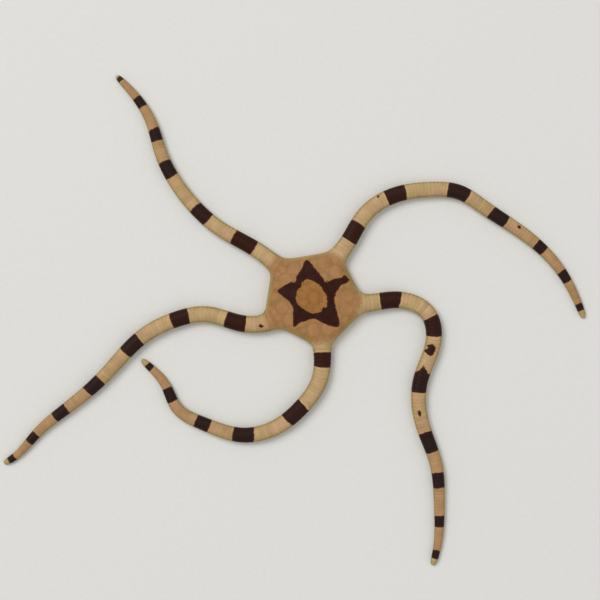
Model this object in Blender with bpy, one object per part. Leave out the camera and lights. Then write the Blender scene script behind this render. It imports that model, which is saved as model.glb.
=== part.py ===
"""A banded brittle star, life size, resting flat on its underside with its five arms laid out in bends.

Every size is in millimetres until a mesh is made. Routes and outlines are measured from the middle of the
disc, with X to the right and Y up the picture when the animal is seen from above. Z = 0 is the surface that
it rests on.
The arms' joints are about twice as long as the real ones, and there are half as many.
"""

import math
from typing import NamedTuple

import bmesh
import bpy
import numpy as np

MM = 0.001
GAP = 0.3  # left between two solids that meet

DISC_PLACE = (5.5, 6.42)  # the disc's middle, from the middle of the whole animal's floor area
# From the disc's middle to each of its straight sides, each named by the arms that it lies between.
DISC_SIDES = {"bc": 11.5, "ab": 11.45, "ea": 12.75, "de": 11.7, "cd": 12.3}
SIDE_TURN = 27.3  # azimuth in degrees of the side between arms b and c
FIFTH_TURN = 72  # from one side to the next, in degrees
ROOT_REACH = 14.6  # from the middle of the disc to the seam where an arm leaves it
ROOT_FLARE = 0.3  # how much wider an arm is at the seam
FLARE_END = 4.0  # along the arm, where the disc's edge stops widening it
ROOT_START = -7.5  # along the arm, where its root starts to shape the disc's outline
ROOT_END = 6.0  # along the arm, where it stops
FILLET = 0.72  # how widely the disc's edge flows into an arm
EDGE_ROUND = 2.5  # width of the rounded rim
RIM_HEIGHT = 3.9  # top of the rim
RIM_MIDDLE = 1.6  # height of the rim's widest line
DOME_HEIGHT = 1.1  # further rise of the back at its middle
DOME_REACH = 13.0  # from the middle to where that rise ends
UNDERSIDE_LIFT = 0.35  # the soft underside between the arms, above the floor

PLATE_STEP = 0.07  # how far a plate's edge stands off the skin
PLATE_RISE = 0.17  # how far its face does
PLATE_BEVEL = 0.3  # width of the slope between the two
PLATE_ROOT = 0.8  # how far a plate is sunk in
PLATE_GROOVE = 0.24  # width of the grooves between the plates of the back
PLATE_MARGIN = 1.2  # from the disc's edge to the outermost plates
PLATE_SHIFT = 0.12  # furthest that a plate between two arms strays from its place, in each direction
ARM_PLATE_SHIFT = 0.1  # the same on an arm's line
PLATE_SIDE_LEAST = 0.45  # shorter sides of a plate are left out
PLATE_CORNERS = 7  # of a plate that isn't fitted to its neighbours
PLATE_SQUARENESS = 0.8  # power of its outline's waves: 1 for an ellipse, less for a rounded square
PLATE_VARIATION = 0.04  # of its corners' places, as a share
SOFT_PLATE_SINK = 0.05  # how far the plates of the soft underside lie below the step of the others

MOUTH_RADIUS = 4.7  # of the round recess that holds the jaws
MOUTH_DEPTH = 2.2
MOUTH_CORNERS = 30
CUT_START = -1.0  # height that the cuts into the underside start at
SLIT_WIDTH = 0.35  # of the slits beside the arms' roots, on the underside
SLIT_DEPTH = 0.45  # from the underside up
PAPILLAE = 4  # small teeth along each side of a jaw
PAPILLA_LENGTH = 0.7
PAPILLA_NOTCH = 0.28  # depth of the notches between them
PAPILLA_START = 1.05  # from the disc's middle to the first of them
PAPILLA_TIP = (0.3, 0.75)  # where its blunt tip starts and ends, as shares of its length
JAW_TURN = 36  # in degrees, from a jaw's middle to the line between it and the next
JAW_GAP = 0.05  # left round the jaws beyond the gap between any two solids
JAW_SIDE_GAP = 0.03  # the same between two jaws, for each
JAW_TIP = ((0.5, 0.0), (0.68, 0.13))  # corners of a jaw's tip, as (from the disc's middle, aside)
JAW_BACK_TURNS = (31, 16, 0)  # of the corners on a jaw's outer side, in degrees from its middle
JAW_FOOT = 0.1  # how much slimmer than the rest a jaw's lower face is
JAW_FOOT_HEIGHT = 0.4

SECTION_HEIGHT = 0.78  # of an arm, as a share of its width
ARM_LENGTHS = ("root", "inner", "middle", "outer", "tip")
JOINT_PITCH = 0.6  # length of an arm's joint, as a share of the arm's width there
JOINT_LEAST = 1.3  # length that no joint is planned to be shorter than
JOINT_STEP = 0.08  # length of the step from a joint's end down to the start of the next
JOINTS_LEAST = 3  # in one length of an arm
JOINT_SEARCH = 200  # places in a length at which the joints' pitch is read
TIP_CUT = 0.02  # from the last joint's end to the route's, where the width is still more than none
JOINT_VARIATION = 0.06  # of the place where a joint ends, as a share of its length
SPINE_OUT = 0.06  # how far a spine's point stands out of the arm's side
SPINE_REACH = 0.24  # how far it lies over the next joint, as a share of a joint's length
PLATE_BOW = 0.16  # how far a joint's upper plate bulges over the next, as a share of a joint's length
SHOULDER_BOW = 0.7  # how far its shoulders do, as a share of that

CREAM = (0.52, 0.35, 0.19)
TAN = (0.38, 0.2, 0.085)

# Half an arm's section where a joint ends, as (share of half the width, share of the height): the edge of
# the underside, the low spine, the hollow between the spines, the high spine, the upper plate's edge and its
# shoulder.
SECTION_END = ((0.62, 0.0), (0.92, 0.17), (0.97, 0.33), (1.0, 0.5), (0.86, 0.75), (0.45, 0.95))
RIDGE_END = 1.0
# The same where a joint starts, which is slimmer.
SECTION_START = ((0.5, 0.0), (0.86, 0.17), (0.93, 0.33), (0.955, 0.49), (0.81, 0.715), (0.43, 0.91))
RIDGE_START = 0.955
SPINES = (1, 3)  # the section's points that spines stand on

SEARCH_STEP = 0.2  # of the search for the disc's outline along a line
SEARCH_END = 16.0  # furthest that it looks
HALVINGS = 20  # that narrow its last step down

random = np.random.default_rng(41)


class Arm(NamedTuple):
    """One arm: the points its midline passes through, its full width, and how far from the tip it thins."""

    route: tuple
    width: float
    taper: float


ARMS = {
    "c": Arm(
        ((8.0, -1.5), (14.9, -1.6), (23.6, -0.8), (31.2, -4.5), (32.7, -12.4), (29.4, -22.1), (29.4, -34.0),
         (33.3, -45.4), (34.4, -57.5), (33.8, -69.0), (32.6, -74.0)),
        4.8, 34.0,
    ),
    "b": Arm(
        ((3.4, 7.2), (5.7, 10.3), (9.0, 14.8), (14.0, 22.8), (22.6, 28.2), (31.9, 29.6), (39.7, 28.9),
         (46.2, 25.0), (57.0, 17.8), (66.7, 8.8), (72.2, -0.6), (74.3, -5.8)),
        4.7, 33.0,
    ),
    "a": Arm(
        ((-5.8, 5.4), (-10.6, 9.0), (-15.2, 12.5), (-26.0, 18.8), (-35.5, 27.8), (-42.2, 39.4),
         (-45.2, 48.6), (-50.6, 56.8), (-54.6, 61.0)),
        4.5, 25.0,
    ),
    "e": Arm(
        ((-7.4, -4.4), (-13.8, -7.2), (-20.8, -7.1), (-29.3, -4.8), (-37.9, -6.1), (-47.6, -11.1),
         (-56.8, -20.6), (-66.6, -29.4), (-76.7, -37.8), (-82.6, -44.0), (-85.6, -45.9)),
        4.8, 33.0,
    ),
    "d": Arm(
        ((1.5, -8.0), (2.1, -14.2), (1.3, -23.0), (-3.5, -30.2), (-10.5, -35.8), (-19.5, -38.0),
         (-30.5, -34.9), (-38.0, -30.4), (-41.2, -24.0), (-44.2, -20.4), (-47.6, -17.3)),
        4.7, 24.0,
    ),
}


def clear_scene():
    """Remove whatever the file opened with."""
    for thing in list(bpy.data.objects):
        bpy.data.objects.remove(thing)


def spline(knots, values, at):
    """The natural cubic spline through values at knots, read at the given places."""
    step = np.diff(knots)
    count = len(knots)
    system = np.eye(count)
    bend = np.zeros((count, values.shape[1]))
    for i in range(1, count - 1):
        system[i, i - 1 : i + 2] = step[i - 1], 2 * (step[i - 1] + step[i]), step[i]
        bend[i] = 6 * ((values[i + 1] - values[i]) / step[i] - (values[i] - values[i - 1]) / step[i - 1])
    bend = np.linalg.solve(system, bend)
    k = np.clip(np.searchsorted(knots, at) - 1, 0, count - 2)
    wide = step[k][:, None]
    after = (at - knots[k])[:, None]
    before = wide - after
    return (
        (bend[k] * before**3 + bend[k + 1] * after**3) / (6 * wide)
        + (values[k] / wide - bend[k] * wide / 6) * before
        + (values[k + 1] / wide - bend[k + 1] * wide / 6) * after
    )


class Midline:
    """An arm's route as a smooth curve measured along its length, with zero at the seam with the disc."""

    FINE = 0.25  # spacing of the points that the curve is read at
    TIP_ROUND = 2.5  # length over which the tip is rounded off
    TIP_SHARE = 0.36  # width that the arm thins to, as a share of its full width
    TIP_END = 0.35  # width of the rounded tip's very end, as a share of the width that it rounds off
    FLARE_LENGTH = 4.0  # over which the flare at the seam falls to about a third
    NEAR = 0.5  # how far before and behind a point the direction there is read

    def __init__(self, arm):
        corners = np.array(arm.route, float)
        knots = np.concatenate([[0], np.cumsum(np.linalg.norm(np.diff(corners, axis=0), axis=1))])
        points = spline(knots, corners, np.linspace(0, knots[-1], int(knots[-1] / self.FINE)))
        along = np.concatenate([[0], np.cumsum(np.linalg.norm(np.diff(points, axis=0), axis=1))])
        seam = along[np.searchsorted(np.linalg.norm(points, axis=1), ROOT_REACH)]
        self.points = points
        self.along = along - seam
        self.length = self.along[-1]
        self.arm = arm

    def place(self, s):
        """The point at a distance along the arm."""
        return np.array([np.interp(s, self.along, self.points[:, axis]) for axis in (0, 1)])

    def direction(self, s):
        """The unit vector towards the tip at a distance along the arm."""
        ahead = self.place(s + self.NEAR) - self.place(s - self.NEAR)
        return ahead / np.linalg.norm(ahead)

    def side(self, s):
        """The unit vector to the arm's right."""
        ahead = self.direction(s)
        return np.array([ahead[1], -ahead[0]])

    def width(self, s):
        """The full width: even near the disc but for the flare, thinner towards the tip and rounded there."""
        left = np.maximum(self.length - s, 0.0)
        fullness = 1 - np.exp(-left / self.arm.taper)
        body = self.arm.width * (self.TIP_SHARE + (1 - self.TIP_SHARE) * fullness)
        body = body + ROOT_FLARE * np.exp(-np.maximum(s, 0.0) / self.FLARE_LENGTH)
        end = np.clip(left / self.TIP_ROUND, 0.0, 1.0)
        return body * (self.TIP_END + (1 - self.TIP_END) * np.sqrt(1 - (1 - end) ** 2))

    def skeleton(self, reach):
        """The point at a distance from the disc's middle along the line from there to the arm."""
        first = self.points[0]
        start = np.linalg.norm(first)
        if reach < start:
            return first * reach / start
        return self.place(reach - ROOT_REACH)


MIDLINES = {name: Midline(arm) for name, arm in ARMS.items()}


def mesh_object(name, vertices, faces):
    """An object from points in millimetres from the disc's middle."""
    mesh = bpy.data.meshes.new(name)
    shift = np.array([*DISC_PLACE, 0.0])
    mesh.from_pydata([tuple(v) for v in (np.asarray(vertices, float) + shift) * MM], [], faces)
    made = bmesh.new()
    made.from_mesh(mesh)
    bmesh.ops.recalc_face_normals(made, faces=made.faces)
    made.to_mesh(mesh)
    made.free()
    thing = bpy.data.objects.new(name, mesh)
    bpy.context.scene.collection.objects.link(thing)
    return thing


def paint(thing, colour, roughness=0.55):
    """Give a finished piece its own plain material."""
    material = bpy.data.materials.new(thing.name)
    material.use_nodes = True
    shader = material.node_tree.nodes["Principled BSDF"]
    shader.inputs["Base Color"].default_value = (*colour, 1.0)
    shader.inputs["Roughness"].default_value = roughness
    thing.data.materials.clear()
    thing.data.materials.append(material)


def tube(rings):
    """Vertices and faces of a closed tube through rings of the same number of points."""
    count = len(rings[0])
    vertices = [point for ring in rings for point in ring]
    faces = [
        (r * count + i, r * count + (i + 1) % count, (r + 1) * count + (i + 1) % count, (r + 1) * count + i)
        for r in range(len(rings) - 1)
        for i in range(count)
    ]
    faces.append(tuple(range(count))[::-1])
    faces.append(tuple((len(rings) - 1) * count + i for i in range(count)))
    return vertices, faces


def domed_tube(first, rings, last):
    """The same with each end drawn to a point, for ends that aren't flat."""
    vertices, faces = tube(rings)
    count = len(rings[0])
    start = len(vertices) - count
    top = len(vertices)
    faces = faces[:-2]
    faces += [(top, (i + 1) % count, i) for i in range(count)]
    faces += [(top + 1, start + i, start + (i + 1) % count) for i in range(count)]
    return [*vertices, tuple(first), tuple(last)], faces


def combine(base, pieces, operation):
    """Join the pieces to the base, or cut them from it, in one Boolean over their collection.

    The pieces are removed after it.
    """
    group = bpy.data.collections.new("pieces")
    bpy.context.scene.collection.children.link(group)
    for piece in pieces:
        bpy.context.scene.collection.objects.unlink(piece)
        group.objects.link(piece)
    change = base.modifiers.new("pieces", "BOOLEAN")
    change.operand_type = "COLLECTION"
    change.collection = group
    change.operation = operation
    change.solver = "MANIFOLD"
    bpy.context.view_layer.update()
    whole = bpy.data.meshes.new_from_object(base.evaluated_get(bpy.context.evaluated_depsgraph_get()))
    base.modifiers.clear()
    base.data = whole
    for piece in pieces:
        bpy.data.objects.remove(piece)
    bpy.data.collections.remove(group)


def keep_largest(thing):
    """Drop every closed surface of an object but the one with the most faces."""
    made = bmesh.new()
    made.from_mesh(thing.data)
    waiting = set(made.verts)
    shells = []
    while waiting:
        shell = set()
        edge = [next(iter(waiting))]
        while edge:
            vertex = edge.pop()
            if vertex in waiting:
                waiting.discard(vertex)
                shell.add(vertex)
                edge += [link.other_vert(vertex) for link in vertex.link_edges]
        shells.append(shell)
    largest = max(shells, key=len)
    bmesh.ops.delete(made, geom=[vertex for vertex in made.verts if vertex not in largest], context="VERTS")
    made.to_mesh(thing.data)
    made.free()


def half_widths(line, s):
    """From an arm's midline to its right and left edges, which near the seam flow into the disc."""
    even = float(line.width(s)) / 2
    if s > FLARE_END:
        return even, even
    start = line.place(s)
    edges = [edge_point(start, line.side(s) * sign) for sign in (1, -1)]
    return tuple(max(even, np.linalg.norm(edge - start)) for edge in edges)


def arm_ring(line, s, section, ridge, bows, pitch, spines):
    """The points round an arm's section at a distance along it.

    bows moves the upper plate's points on towards the tip, as a share of a full bow, and spines does the same
    for the spines' points.
    """
    right, left = half_widths(line, s)
    tall = line.width(s) * SECTION_HEIGHT
    middle = line.place(s)
    ahead = line.direction(s)
    side = line.side(s)
    bow = {len(section) - 1: SHOULDER_BOW, len(section): 1.0}
    half = []
    for i, (share, up) in enumerate([*section, (0.0, ridge)]):
        spine = spines if i in SPINES else 0.0
        on = pitch * (bows * PLATE_BOW * bow.get(i, 0.0) + spine * SPINE_REACH)
        half.append((share, spine * SPINE_OUT, on, up * tall))
    outline = [(share * right + out, on, up) for share, out, on, up in half]
    outline += [(-share * left - out, on, up) for share, out, on, up in half[-2::-1]]
    return [(*(middle + side * out + ahead * on), up) for out, on, up in outline]


def joint_places(line, start, end):
    """Where the joints between two places along an arm end, each in proportion to the arm's width there."""
    fine = np.linspace(start, end, JOINT_SEARCH)
    pitch = np.maximum(JOINT_PITCH * line.width((fine[1:] + fine[:-1]) / 2), JOINT_LEAST)
    count = np.concatenate([[0], np.cumsum(np.diff(fine) / pitch)])
    joints = max(JOINTS_LEAST, round(count[-1]))
    steps = np.arange(joints + 1, dtype=float)
    steps[1:-1] += random.uniform(-JOINT_VARIATION, JOINT_VARIATION, joints - 1)
    return np.interp(steps * count[-1] / joints, count, fine)


def build_arm(name, line):
    """The arm's lengths, each a closed row of joints that meets the next length across the gap."""
    cuts = np.linspace(0, line.length, len(ARM_LENGTHS) + 1)
    for i, label in enumerate(ARM_LENGTHS):
        start = cuts[i] + GAP / 2
        end = cuts[i + 1] - (GAP / 2 if i + 1 < len(ARM_LENGTHS) else TIP_CUT)
        places = joint_places(line, start, end)
        rings = []
        for j in range(len(places) - 1):
            pitch = places[j + 1] - places[j]
            follows = float(j > 0)
            goes_on = float(j < len(places) - 2)
            begin = places[j] + JOINT_STEP * follows
            rings.append(arm_ring(line, begin, SECTION_START, RIDGE_START, follows, pitch, 0.0))
            rings.append(arm_ring(line, places[j + 1], SECTION_END, RIDGE_END, goes_on, pitch, goes_on))
        paint(mesh_object(f"arm_{name}_{label}", *tube(rings)), CREAM)


def smooth_union(fields, width):
    """The largest of several fields, with the corners between them rounded over the given width."""
    stack = np.stack(fields)
    return width * np.log(np.exp(stack / width).sum(axis=0))


def inside(x, y):
    """How far inside the outline a point is, of the disc and the arms' roots flowing into each other."""
    sides = []
    for i, far in enumerate(DISC_SIDES.values()):
        turn = math.radians(SIDE_TURN + FIFTH_TURN * i)
        sides.append(far - x * math.cos(turn) - y * math.sin(turn))
    fields = [np.min(sides, axis=0)]
    for line in MIDLINES.values():
        near = (line.along > ROOT_START) & (line.along < ROOT_END)
        apart = np.hypot(x[..., None] - line.points[near, 0], y[..., None] - line.points[near, 1])
        fields.append((line.width(line.along[near]) / 2 - apart).max(axis=-1))
    return smooth_union(fields, FILLET)


def top_height(x, y):
    """Height of the back over a point of the plan."""
    rim = np.clip(inside(x, y) / EDGE_ROUND, 0.0, 1.0)
    dome = np.clip(1 - (x**2 + y**2) / DOME_REACH**2, 0.0, 1.0)
    return RIM_MIDDLE + (RIM_HEIGHT - RIM_MIDDLE) * np.sqrt(1 - (1 - rim) ** 2) + DOME_HEIGHT * dome**2


def edge_point(start, ahead):
    """Where a straight line from a point first leaves the outline, by even steps and then by halving."""
    reach = np.arange(SEARCH_STEP, SEARCH_END, SEARCH_STEP)
    path = start[:, None] + ahead[:, None] * reach
    high = reach[np.argmax(inside(path[0], path[1]) < 0)]
    low = high - SEARCH_STEP
    for _ in range(HALVINGS):
        middle = (low + high) / 2
        point = start + ahead * middle
        if inside(point[:1], point[1:])[0] > 0:
            low = middle
        else:
            high = middle
    return start + ahead * low


VEIN_REACHES = (2.4, 4.8, 7.2, 9.6)  # from the disc's middle, where the slanted lines leave an arm's midline
SQUARE_PLACES = (-2.2, -1.5, -0.8, -GAP / 2)  # along the arm, where lines cross it squarely
TOP_STEPS = (0.4, 0.68, 0.85, 0.95, 0.99)  # of a line's length, where the rings of the back cross it
UNDER_STEPS = ((0.25, 0.6), (1.0, UNDERSIDE_LIFT))  # (inset from the edge, height) of the rings below the rim


def bearing(point):
    """The azimuth of a point in degrees."""
    return math.degrees(math.atan2(point[1], point[0]))


def disc_lines():
    """The lines that carry the disc's surface, in order round it.

    Each is (key, inner point, outer point): it runs from the middle of the disc, or from a point of an arm's
    midline, out to the edge. Lines with the same key start at the same point.
    """
    names = list(MIDLINES)
    turns = [bearing(line.place(SQUARE_PLACES[0])) % 360 for line in MIDLINES.values()]
    turns[0] -= 360  # arm c, the first, lies just short of a full turn
    lines = []
    for i, name in enumerate(names):
        line = MIDLINES[name]
        before = turns[i - 1] - (360 if i == 0 else 0)
        after = turns[(i + 1) % len(names)] + (360 if i + 1 == len(names) else 0)
        halves = []
        for sign, neighbour in ((1, before), (-1, after)):
            half = (neighbour + turns[i]) / 2
            square = []
            for s in SQUARE_PLACES:
                start = line.place(s)
                square.append(((name, s), start, edge_point(start, line.side(s) * sign)))
            last = bearing(square[0][2])
            last += 360 * round((turns[i] - last) / 360)
            slanted = []
            for k, reach in enumerate(VEIN_REACHES):
                turn = math.radians(half + (last - half) * (k + 1) / (len(VEIN_REACHES) + 1))
                outer = edge_point(np.zeros(2), np.array([math.cos(turn), math.sin(turn)]))
                slanted.append(((name, reach), line.skeleton(reach), outer))
            halves.append(slanted + square)
        lines += halves[0] + halves[1][::-1]
        turn = math.radians((after + turns[i]) / 2)
        outer = edge_point(np.zeros(2), np.array([math.cos(turn), math.sin(turn)]))
        lines.append((None, np.zeros(2), outer))
    return lines


def disc_mesh():
    """The disc, with a flat face square across each arm's root half a gap before the seam."""
    vertices = []
    ends = {}
    columns = []

    def add(x, y, z):
        vertices.append((float(x), float(y), float(z)))
        return len(vertices) - 1

    for key, inner, outer in disc_lines():
        if key not in ends:
            top = top_height(inner[:1], inner[1:])[0]
            ends[key] = add(*inner, top), add(*inner, UNDERSIDE_LIFT)
        column = []
        span = np.linalg.norm(outer - inner)
        for step in TOP_STEPS:
            x, y = inner + (outer - inner) * step
            column.append(add(x, y, top_height(np.array([x]), np.array([y]))[0]))
        column.append(add(*outer, RIM_MIDDLE))
        for inset, height in UNDER_STEPS:
            column.append(add(*(outer + (inner - outer) * inset / span), height))
        columns.append((key, [ends[key][0], *column, ends[key][1]]))
    faces = []
    seam = SQUARE_PLACES[-1]
    for (key, near), (other_key, far) in zip(columns, columns[1:] + columns[:1]):
        if key == other_key and key[1] == seam:
            faces.append(tuple(near + far[-2:0:-1]))
            continue
        for r in range(len(near) - 1):
            face = (near[r], near[r + 1], far[r + 1], far[r])
            faces.append(tuple(dict.fromkeys(face)))
    return vertices, faces


def plate_outline(centre, ahead, length, width, narrowing=0.0):
    """Corners of a rounded plate, slimmer by a share at its near end where narrowing is positive."""
    turns = (np.arange(PLATE_CORNERS) + 0.5) * 2 * math.pi / PLATE_CORNERS
    waves = (np.cos(turns), np.sin(turns))
    squared = [np.sign(wave) * np.abs(wave) ** PLATE_SQUARENESS for wave in waves]
    on = squared[0] * length / 2
    out = squared[1] * width / 2 * (1 + narrowing * squared[0])
    for values in (on, out):
        values *= 1 + random.uniform(-PLATE_VARIATION, PLATE_VARIATION, PLATE_CORNERS)
    side = np.array([ahead[1], -ahead[0]])
    return centre + on[:, None] * ahead + out[:, None] * side


def inset(outline, by):
    """An outline's corners moved towards its middle."""
    middle = outline.mean(axis=0)
    arms = middle - outline
    return outline + arms * by / np.linalg.norm(arms, axis=1)[:, None]


def clip(outline, normal, far):
    """The part of a convex outline that lies no further than far along a normal."""
    depth = far - outline @ normal
    kept = []
    for i in range(len(outline)):
        near, after = outline[i], outline[(i + 1) % len(outline)]
        if depth[i] >= 0:
            kept.append(near)
        j = (i + 1) % len(outline)
        if depth[i] * depth[j] < 0:
            kept.append(near + (after - near) * depth[i] / (depth[i] - depth[j]))
    return np.array(kept)


def drop_short_edges(outline, least):
    """A convex outline with the corners that are nearly at their neighbour left out."""
    kept = []
    for i in range(len(outline)):
        if np.linalg.norm(outline[i] - outline[i - 1]) > least:
            kept.append(outline[i])
    return np.array(kept)


def fitted_outline(k, middles, radii):
    """The outline of one of a set of round plates, grown until they meet each other and the disc's edge.

    Two plates meet on the line where the tangents to both their circles are equally long.
    """
    outline = np.array([(-1, -1), (1, -1), (1, 1), (-1, 1)]) * 2 * DOME_REACH
    for j in range(len(middles)):
        if j != k:
            between = middles[j] - middles[k]
            span = np.linalg.norm(between)
            meet = (span**2 + radii[k] ** 2 - radii[j] ** 2) / (2 * span)
            normal = between / span
            outline = clip(outline, normal, middles[k] @ normal + meet - PLATE_GROOVE / 2)
    for i, far in enumerate(DISC_SIDES.values()):
        outline = clip(outline, radius_frame(SIDE_TURN + FIFTH_TURN * i)[0], far - PLATE_MARGIN)
    return drop_short_edges(outline, PLATE_SIDE_LEAST)


def back_plate(outline):
    """A plate that stands on the back: a sunk root, a low step, and a bevel up to its face."""
    face = inset(outline, PLATE_BEVEL)
    skin = top_height(outline[:, 0], outline[:, 1])
    on_face = top_height(face[:, 0], face[:, 1])
    middle = outline.mean(axis=0)
    height = top_height(middle[:1], middle[1:])[0]
    rings = [
        [(x, y, z - PLATE_ROOT) for (x, y), z in zip(outline, skin)],
        [(x, y, z + PLATE_STEP) for (x, y), z in zip(outline, skin)],
        [(x, y, z + PLATE_RISE) for (x, y), z in zip(face, on_face)],
    ]
    root = (*middle, height - PLATE_ROOT)
    crown = (*middle, height + PLATE_RISE)
    return mesh_object("plate", *domed_tube(root, rings, crown))


def under_plate(outline, floor=0.0):
    """A plate on the underside whose face lies at the given height above the floor."""
    face = inset(outline, PLATE_BEVEL / 2)
    rings = [
        [(x, y, floor) for x, y in face],
        [(x, y, floor + PLATE_STEP) for x, y in outline],
        [(x, y, UNDERSIDE_LIFT + PLATE_ROOT) for x, y in outline],
    ]
    return mesh_object("plate", *tube(rings))


class Plate(NamedTuple):
    """A plate's place along a radius and aside of it, its size, and how much its near end narrows."""

    along: float
    aside: float
    length: float
    width: float
    narrowing: float = 0.0


class Seed(NamedTuple):
    """The place of a fitted plate of the back, along a radius and aside of it, and the plate's radius."""

    along: float
    aside: float
    radius: float


CENTRE_RADIUS = 1.5  # of the plate in the middle of the back
# Between two arms, with places along as shares of the distance to the disc's side.
SIDE_SEEDS = (
    Seed(0.27, 0.0, 1.1), Seed(0.46, 0.0, 1.3), Seed(0.67, 0.0, 1.6), Seed(0.86, 1.5, 1.1),
    Seed(0.86, -1.5, 1.1),
)
# On the line of an arm, with places along in millimetres from the disc's middle. The two of a pair are the
# shields.
ARM_LINE_SEEDS = (
    Seed(3.3, 0.0, 1.15), Seed(5.9, 0.0, 1.3), Seed(8.3, 0.0, 0.7), Seed(9.0, 2.0, 1.7),
    Seed(9.0, -2.0, 1.7), Seed(11.0, 0.0, 1.0),
)
# The oral shields, between the arms: corners as (from the disc's middle, aside), for one half.
ORAL_SHIELD = ((5.0, 0.0), (6.1, 1.3), (7.6, 1.55), (8.8, 1.0), (9.3, 0.0))
# The shields beside each oral shield's inner edges, the same way, on one side.
ADORAL_SHIELD = ((4.4, 0.35), (5.75, 1.72), (7.0, 2.0), (7.0, 2.75), (5.7, 2.5), (4.3, 1.35))
# Under an arm's root, with places along measured from the seam.
UNDER_ARM_PLATES = (
    Plate(-7.7, 0.0, 1.8, 1.9, 0.15), Plate(-5.65, 0.0, 1.85, 2.2, 0.15), Plate(-3.5, 0.0, 1.95, 2.5, 0.15),
    Plate(-1.3, 0.0, 2.0, 2.8, 0.15),
)
# Near the middle of a side, with places along as shares of the distance to it.
UNDER_SIDE_PLATES = (Plate(0.86, 0.0, 1.5, 2.4), Plate(0.8, 2.1, 1.6, 1.5), Plate(0.8, -2.1, 1.6, 1.5))
SLIT = Plate(-4.6, 2.95, 4.4, SLIT_WIDTH)
# Its corners, as shares of half its length and width.
SLIT_OUTLINE = ((-1, -0.5), (-0.8, -1), (0.8, -1), (1, -0.5), (1, 0.5), (0.8, 1), (-0.8, 1), (-1, 0.5))
BEND_START = 8.5  # from the disc's middle, where an arm's line starts to follow the arm


def radius_frame(turn):
    """Unit vectors along and aside of a radius, from its azimuth in degrees."""
    ahead = np.array([math.cos(math.radians(turn)), math.sin(math.radians(turn))])
    return ahead, np.array([ahead[1], -ahead[0]])


def arm_line_frame(line, along):
    """The point of an arm's line at a distance from the disc's middle, and its unit vectors along and aside."""
    middle = line.skeleton(along)
    bends = along > BEND_START
    ahead = line.direction(along - ROOT_REACH) if bends else middle / np.linalg.norm(middle)
    return middle, ahead, np.array([ahead[1], -ahead[0]])


def fitted_plates():
    """The plates that cover the back, each grown out to its neighbours."""
    middles = [np.zeros(2)]
    radii = [CENTRE_RADIUS]
    for i, far in enumerate(DISC_SIDES.values()):
        ahead, side = radius_frame(SIDE_TURN + FIFTH_TURN * i)
        for seed in SIDE_SEEDS:
            strays = random.uniform(-PLATE_SHIFT, PLATE_SHIFT, 2)
            middles.append(ahead * seed.along * far + side * seed.aside + strays)
            radii.append(seed.radius)
    for line in MIDLINES.values():
        for seed in ARM_LINE_SEEDS:
            middle, _, side = arm_line_frame(line, seed.along)
            strays = random.uniform(-ARM_PLATE_SHIFT, ARM_PLATE_SHIFT, 2)
            middles.append(middle + side * seed.aside + strays)
            radii.append(seed.radius)
    return [back_plate(fitted_outline(k, middles, radii)) for k in range(len(middles))]


def disc_plates():
    """All the plates of the back and the underside."""
    plates = fitted_plates()
    for line in MIDLINES.values():
        for plate in UNDER_ARM_PLATES:
            middle, ahead, _ = arm_line_frame(line, plate.along + ROOT_REACH)
            outline = plate_outline(middle, ahead, plate.length, plate.width, plate.narrowing)
            plates.append(under_plate(outline))
    for i, far in enumerate(DISC_SIDES.values()):
        ahead, side = radius_frame(SIDE_TURN + FIFTH_TURN * i)
        shield = [*ORAL_SHIELD, *[(along, -aside) for along, aside in ORAL_SHIELD[-2:0:-1]]]
        plates.append(under_plate(np.array([ahead * along + side * aside for along, aside in shield])))
        for sign in (1, -1):
            corners = [ahead * along + side * aside * sign for along, aside in ADORAL_SHIELD]
            plates.append(under_plate(np.array(corners)))
        for plate in UNDER_SIDE_PLATES:
            middle = ahead * plate.along * far + side * plate.aside
            outline = plate_outline(middle, ahead, plate.length, plate.width)
            plates.append(under_plate(outline, UNDERSIDE_LIFT - PLATE_STEP - SOFT_PLATE_SINK))
    return plates


def disc_cutters():
    """The mouth's round recess, and the slits along both sides of each arm's root."""
    around = np.linspace(0, 2 * math.pi, MOUTH_CORNERS, endpoint=False)
    circle = [(MOUTH_RADIUS * math.cos(turn), MOUTH_RADIUS * math.sin(turn)) for turn in around]
    rings = [[(x, y, z) for x, y in circle] for z in (CUT_START, MOUTH_DEPTH)]
    cutters = [mesh_object("mouth", *tube(rings))]
    for line in MIDLINES.values():
        for sign in (1, -1):
            ahead, side = line.direction(SLIT.along), line.side(SLIT.along)
            middle = line.place(SLIT.along) + side * SLIT.aside * sign
            corners = [
                middle + ahead * SLIT.length / 2 * on + side * SLIT.width / 2 * out
                for on, out in SLIT_OUTLINE
            ]
            rings = [[(x, y, z) for x, y in corners] for z in (CUT_START, UNDERSIDE_LIFT + SLIT_DEPTH)]
            cutters.append(mesh_object("slit", *tube(rings)))
    return cutters


def build_disc():
    """The disc with its plates, the mouth's recess and the slits."""
    disc = mesh_object("disc", *disc_mesh())
    combine(disc, disc_plates(), "UNION")
    combine(disc, disc_cutters(), "DIFFERENCE")
    keep_largest(disc)
    paint(disc, TAN)


def jaw_outline(slack):
    """A jaw seen from below, as (from the disc's middle, aside): a wedge with small teeth along both sides.

    slack is how much further than the teeth's tips everything lies from the line between two jaws.
    """
    steep = math.radians(JAW_TURN)
    side = []
    for i in range(PAPILLAE):
        for share, back in ((0.0, PAPILLA_NOTCH), *[(share, 0.0) for share in PAPILLA_TIP]):
            along = PAPILLA_START + (i + share) * PAPILLA_LENGTH
            room = GAP / 2 + JAW_SIDE_GAP + back + slack
            side.append((along, math.tan(steep) * along - room / math.cos(steep)))
    outer = MOUTH_RADIUS - GAP - JAW_GAP
    turns = [math.radians(turn) for turn in JAW_BACK_TURNS]
    arc = [(outer * math.cos(turn), outer * math.sin(turn)) for turn in turns]
    half = [*[(along + slack, aside) for along, aside in JAW_TIP], *side, *arc]
    return half + [(along, -aside) for along, aside in half[-2:0:-1]]


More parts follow.
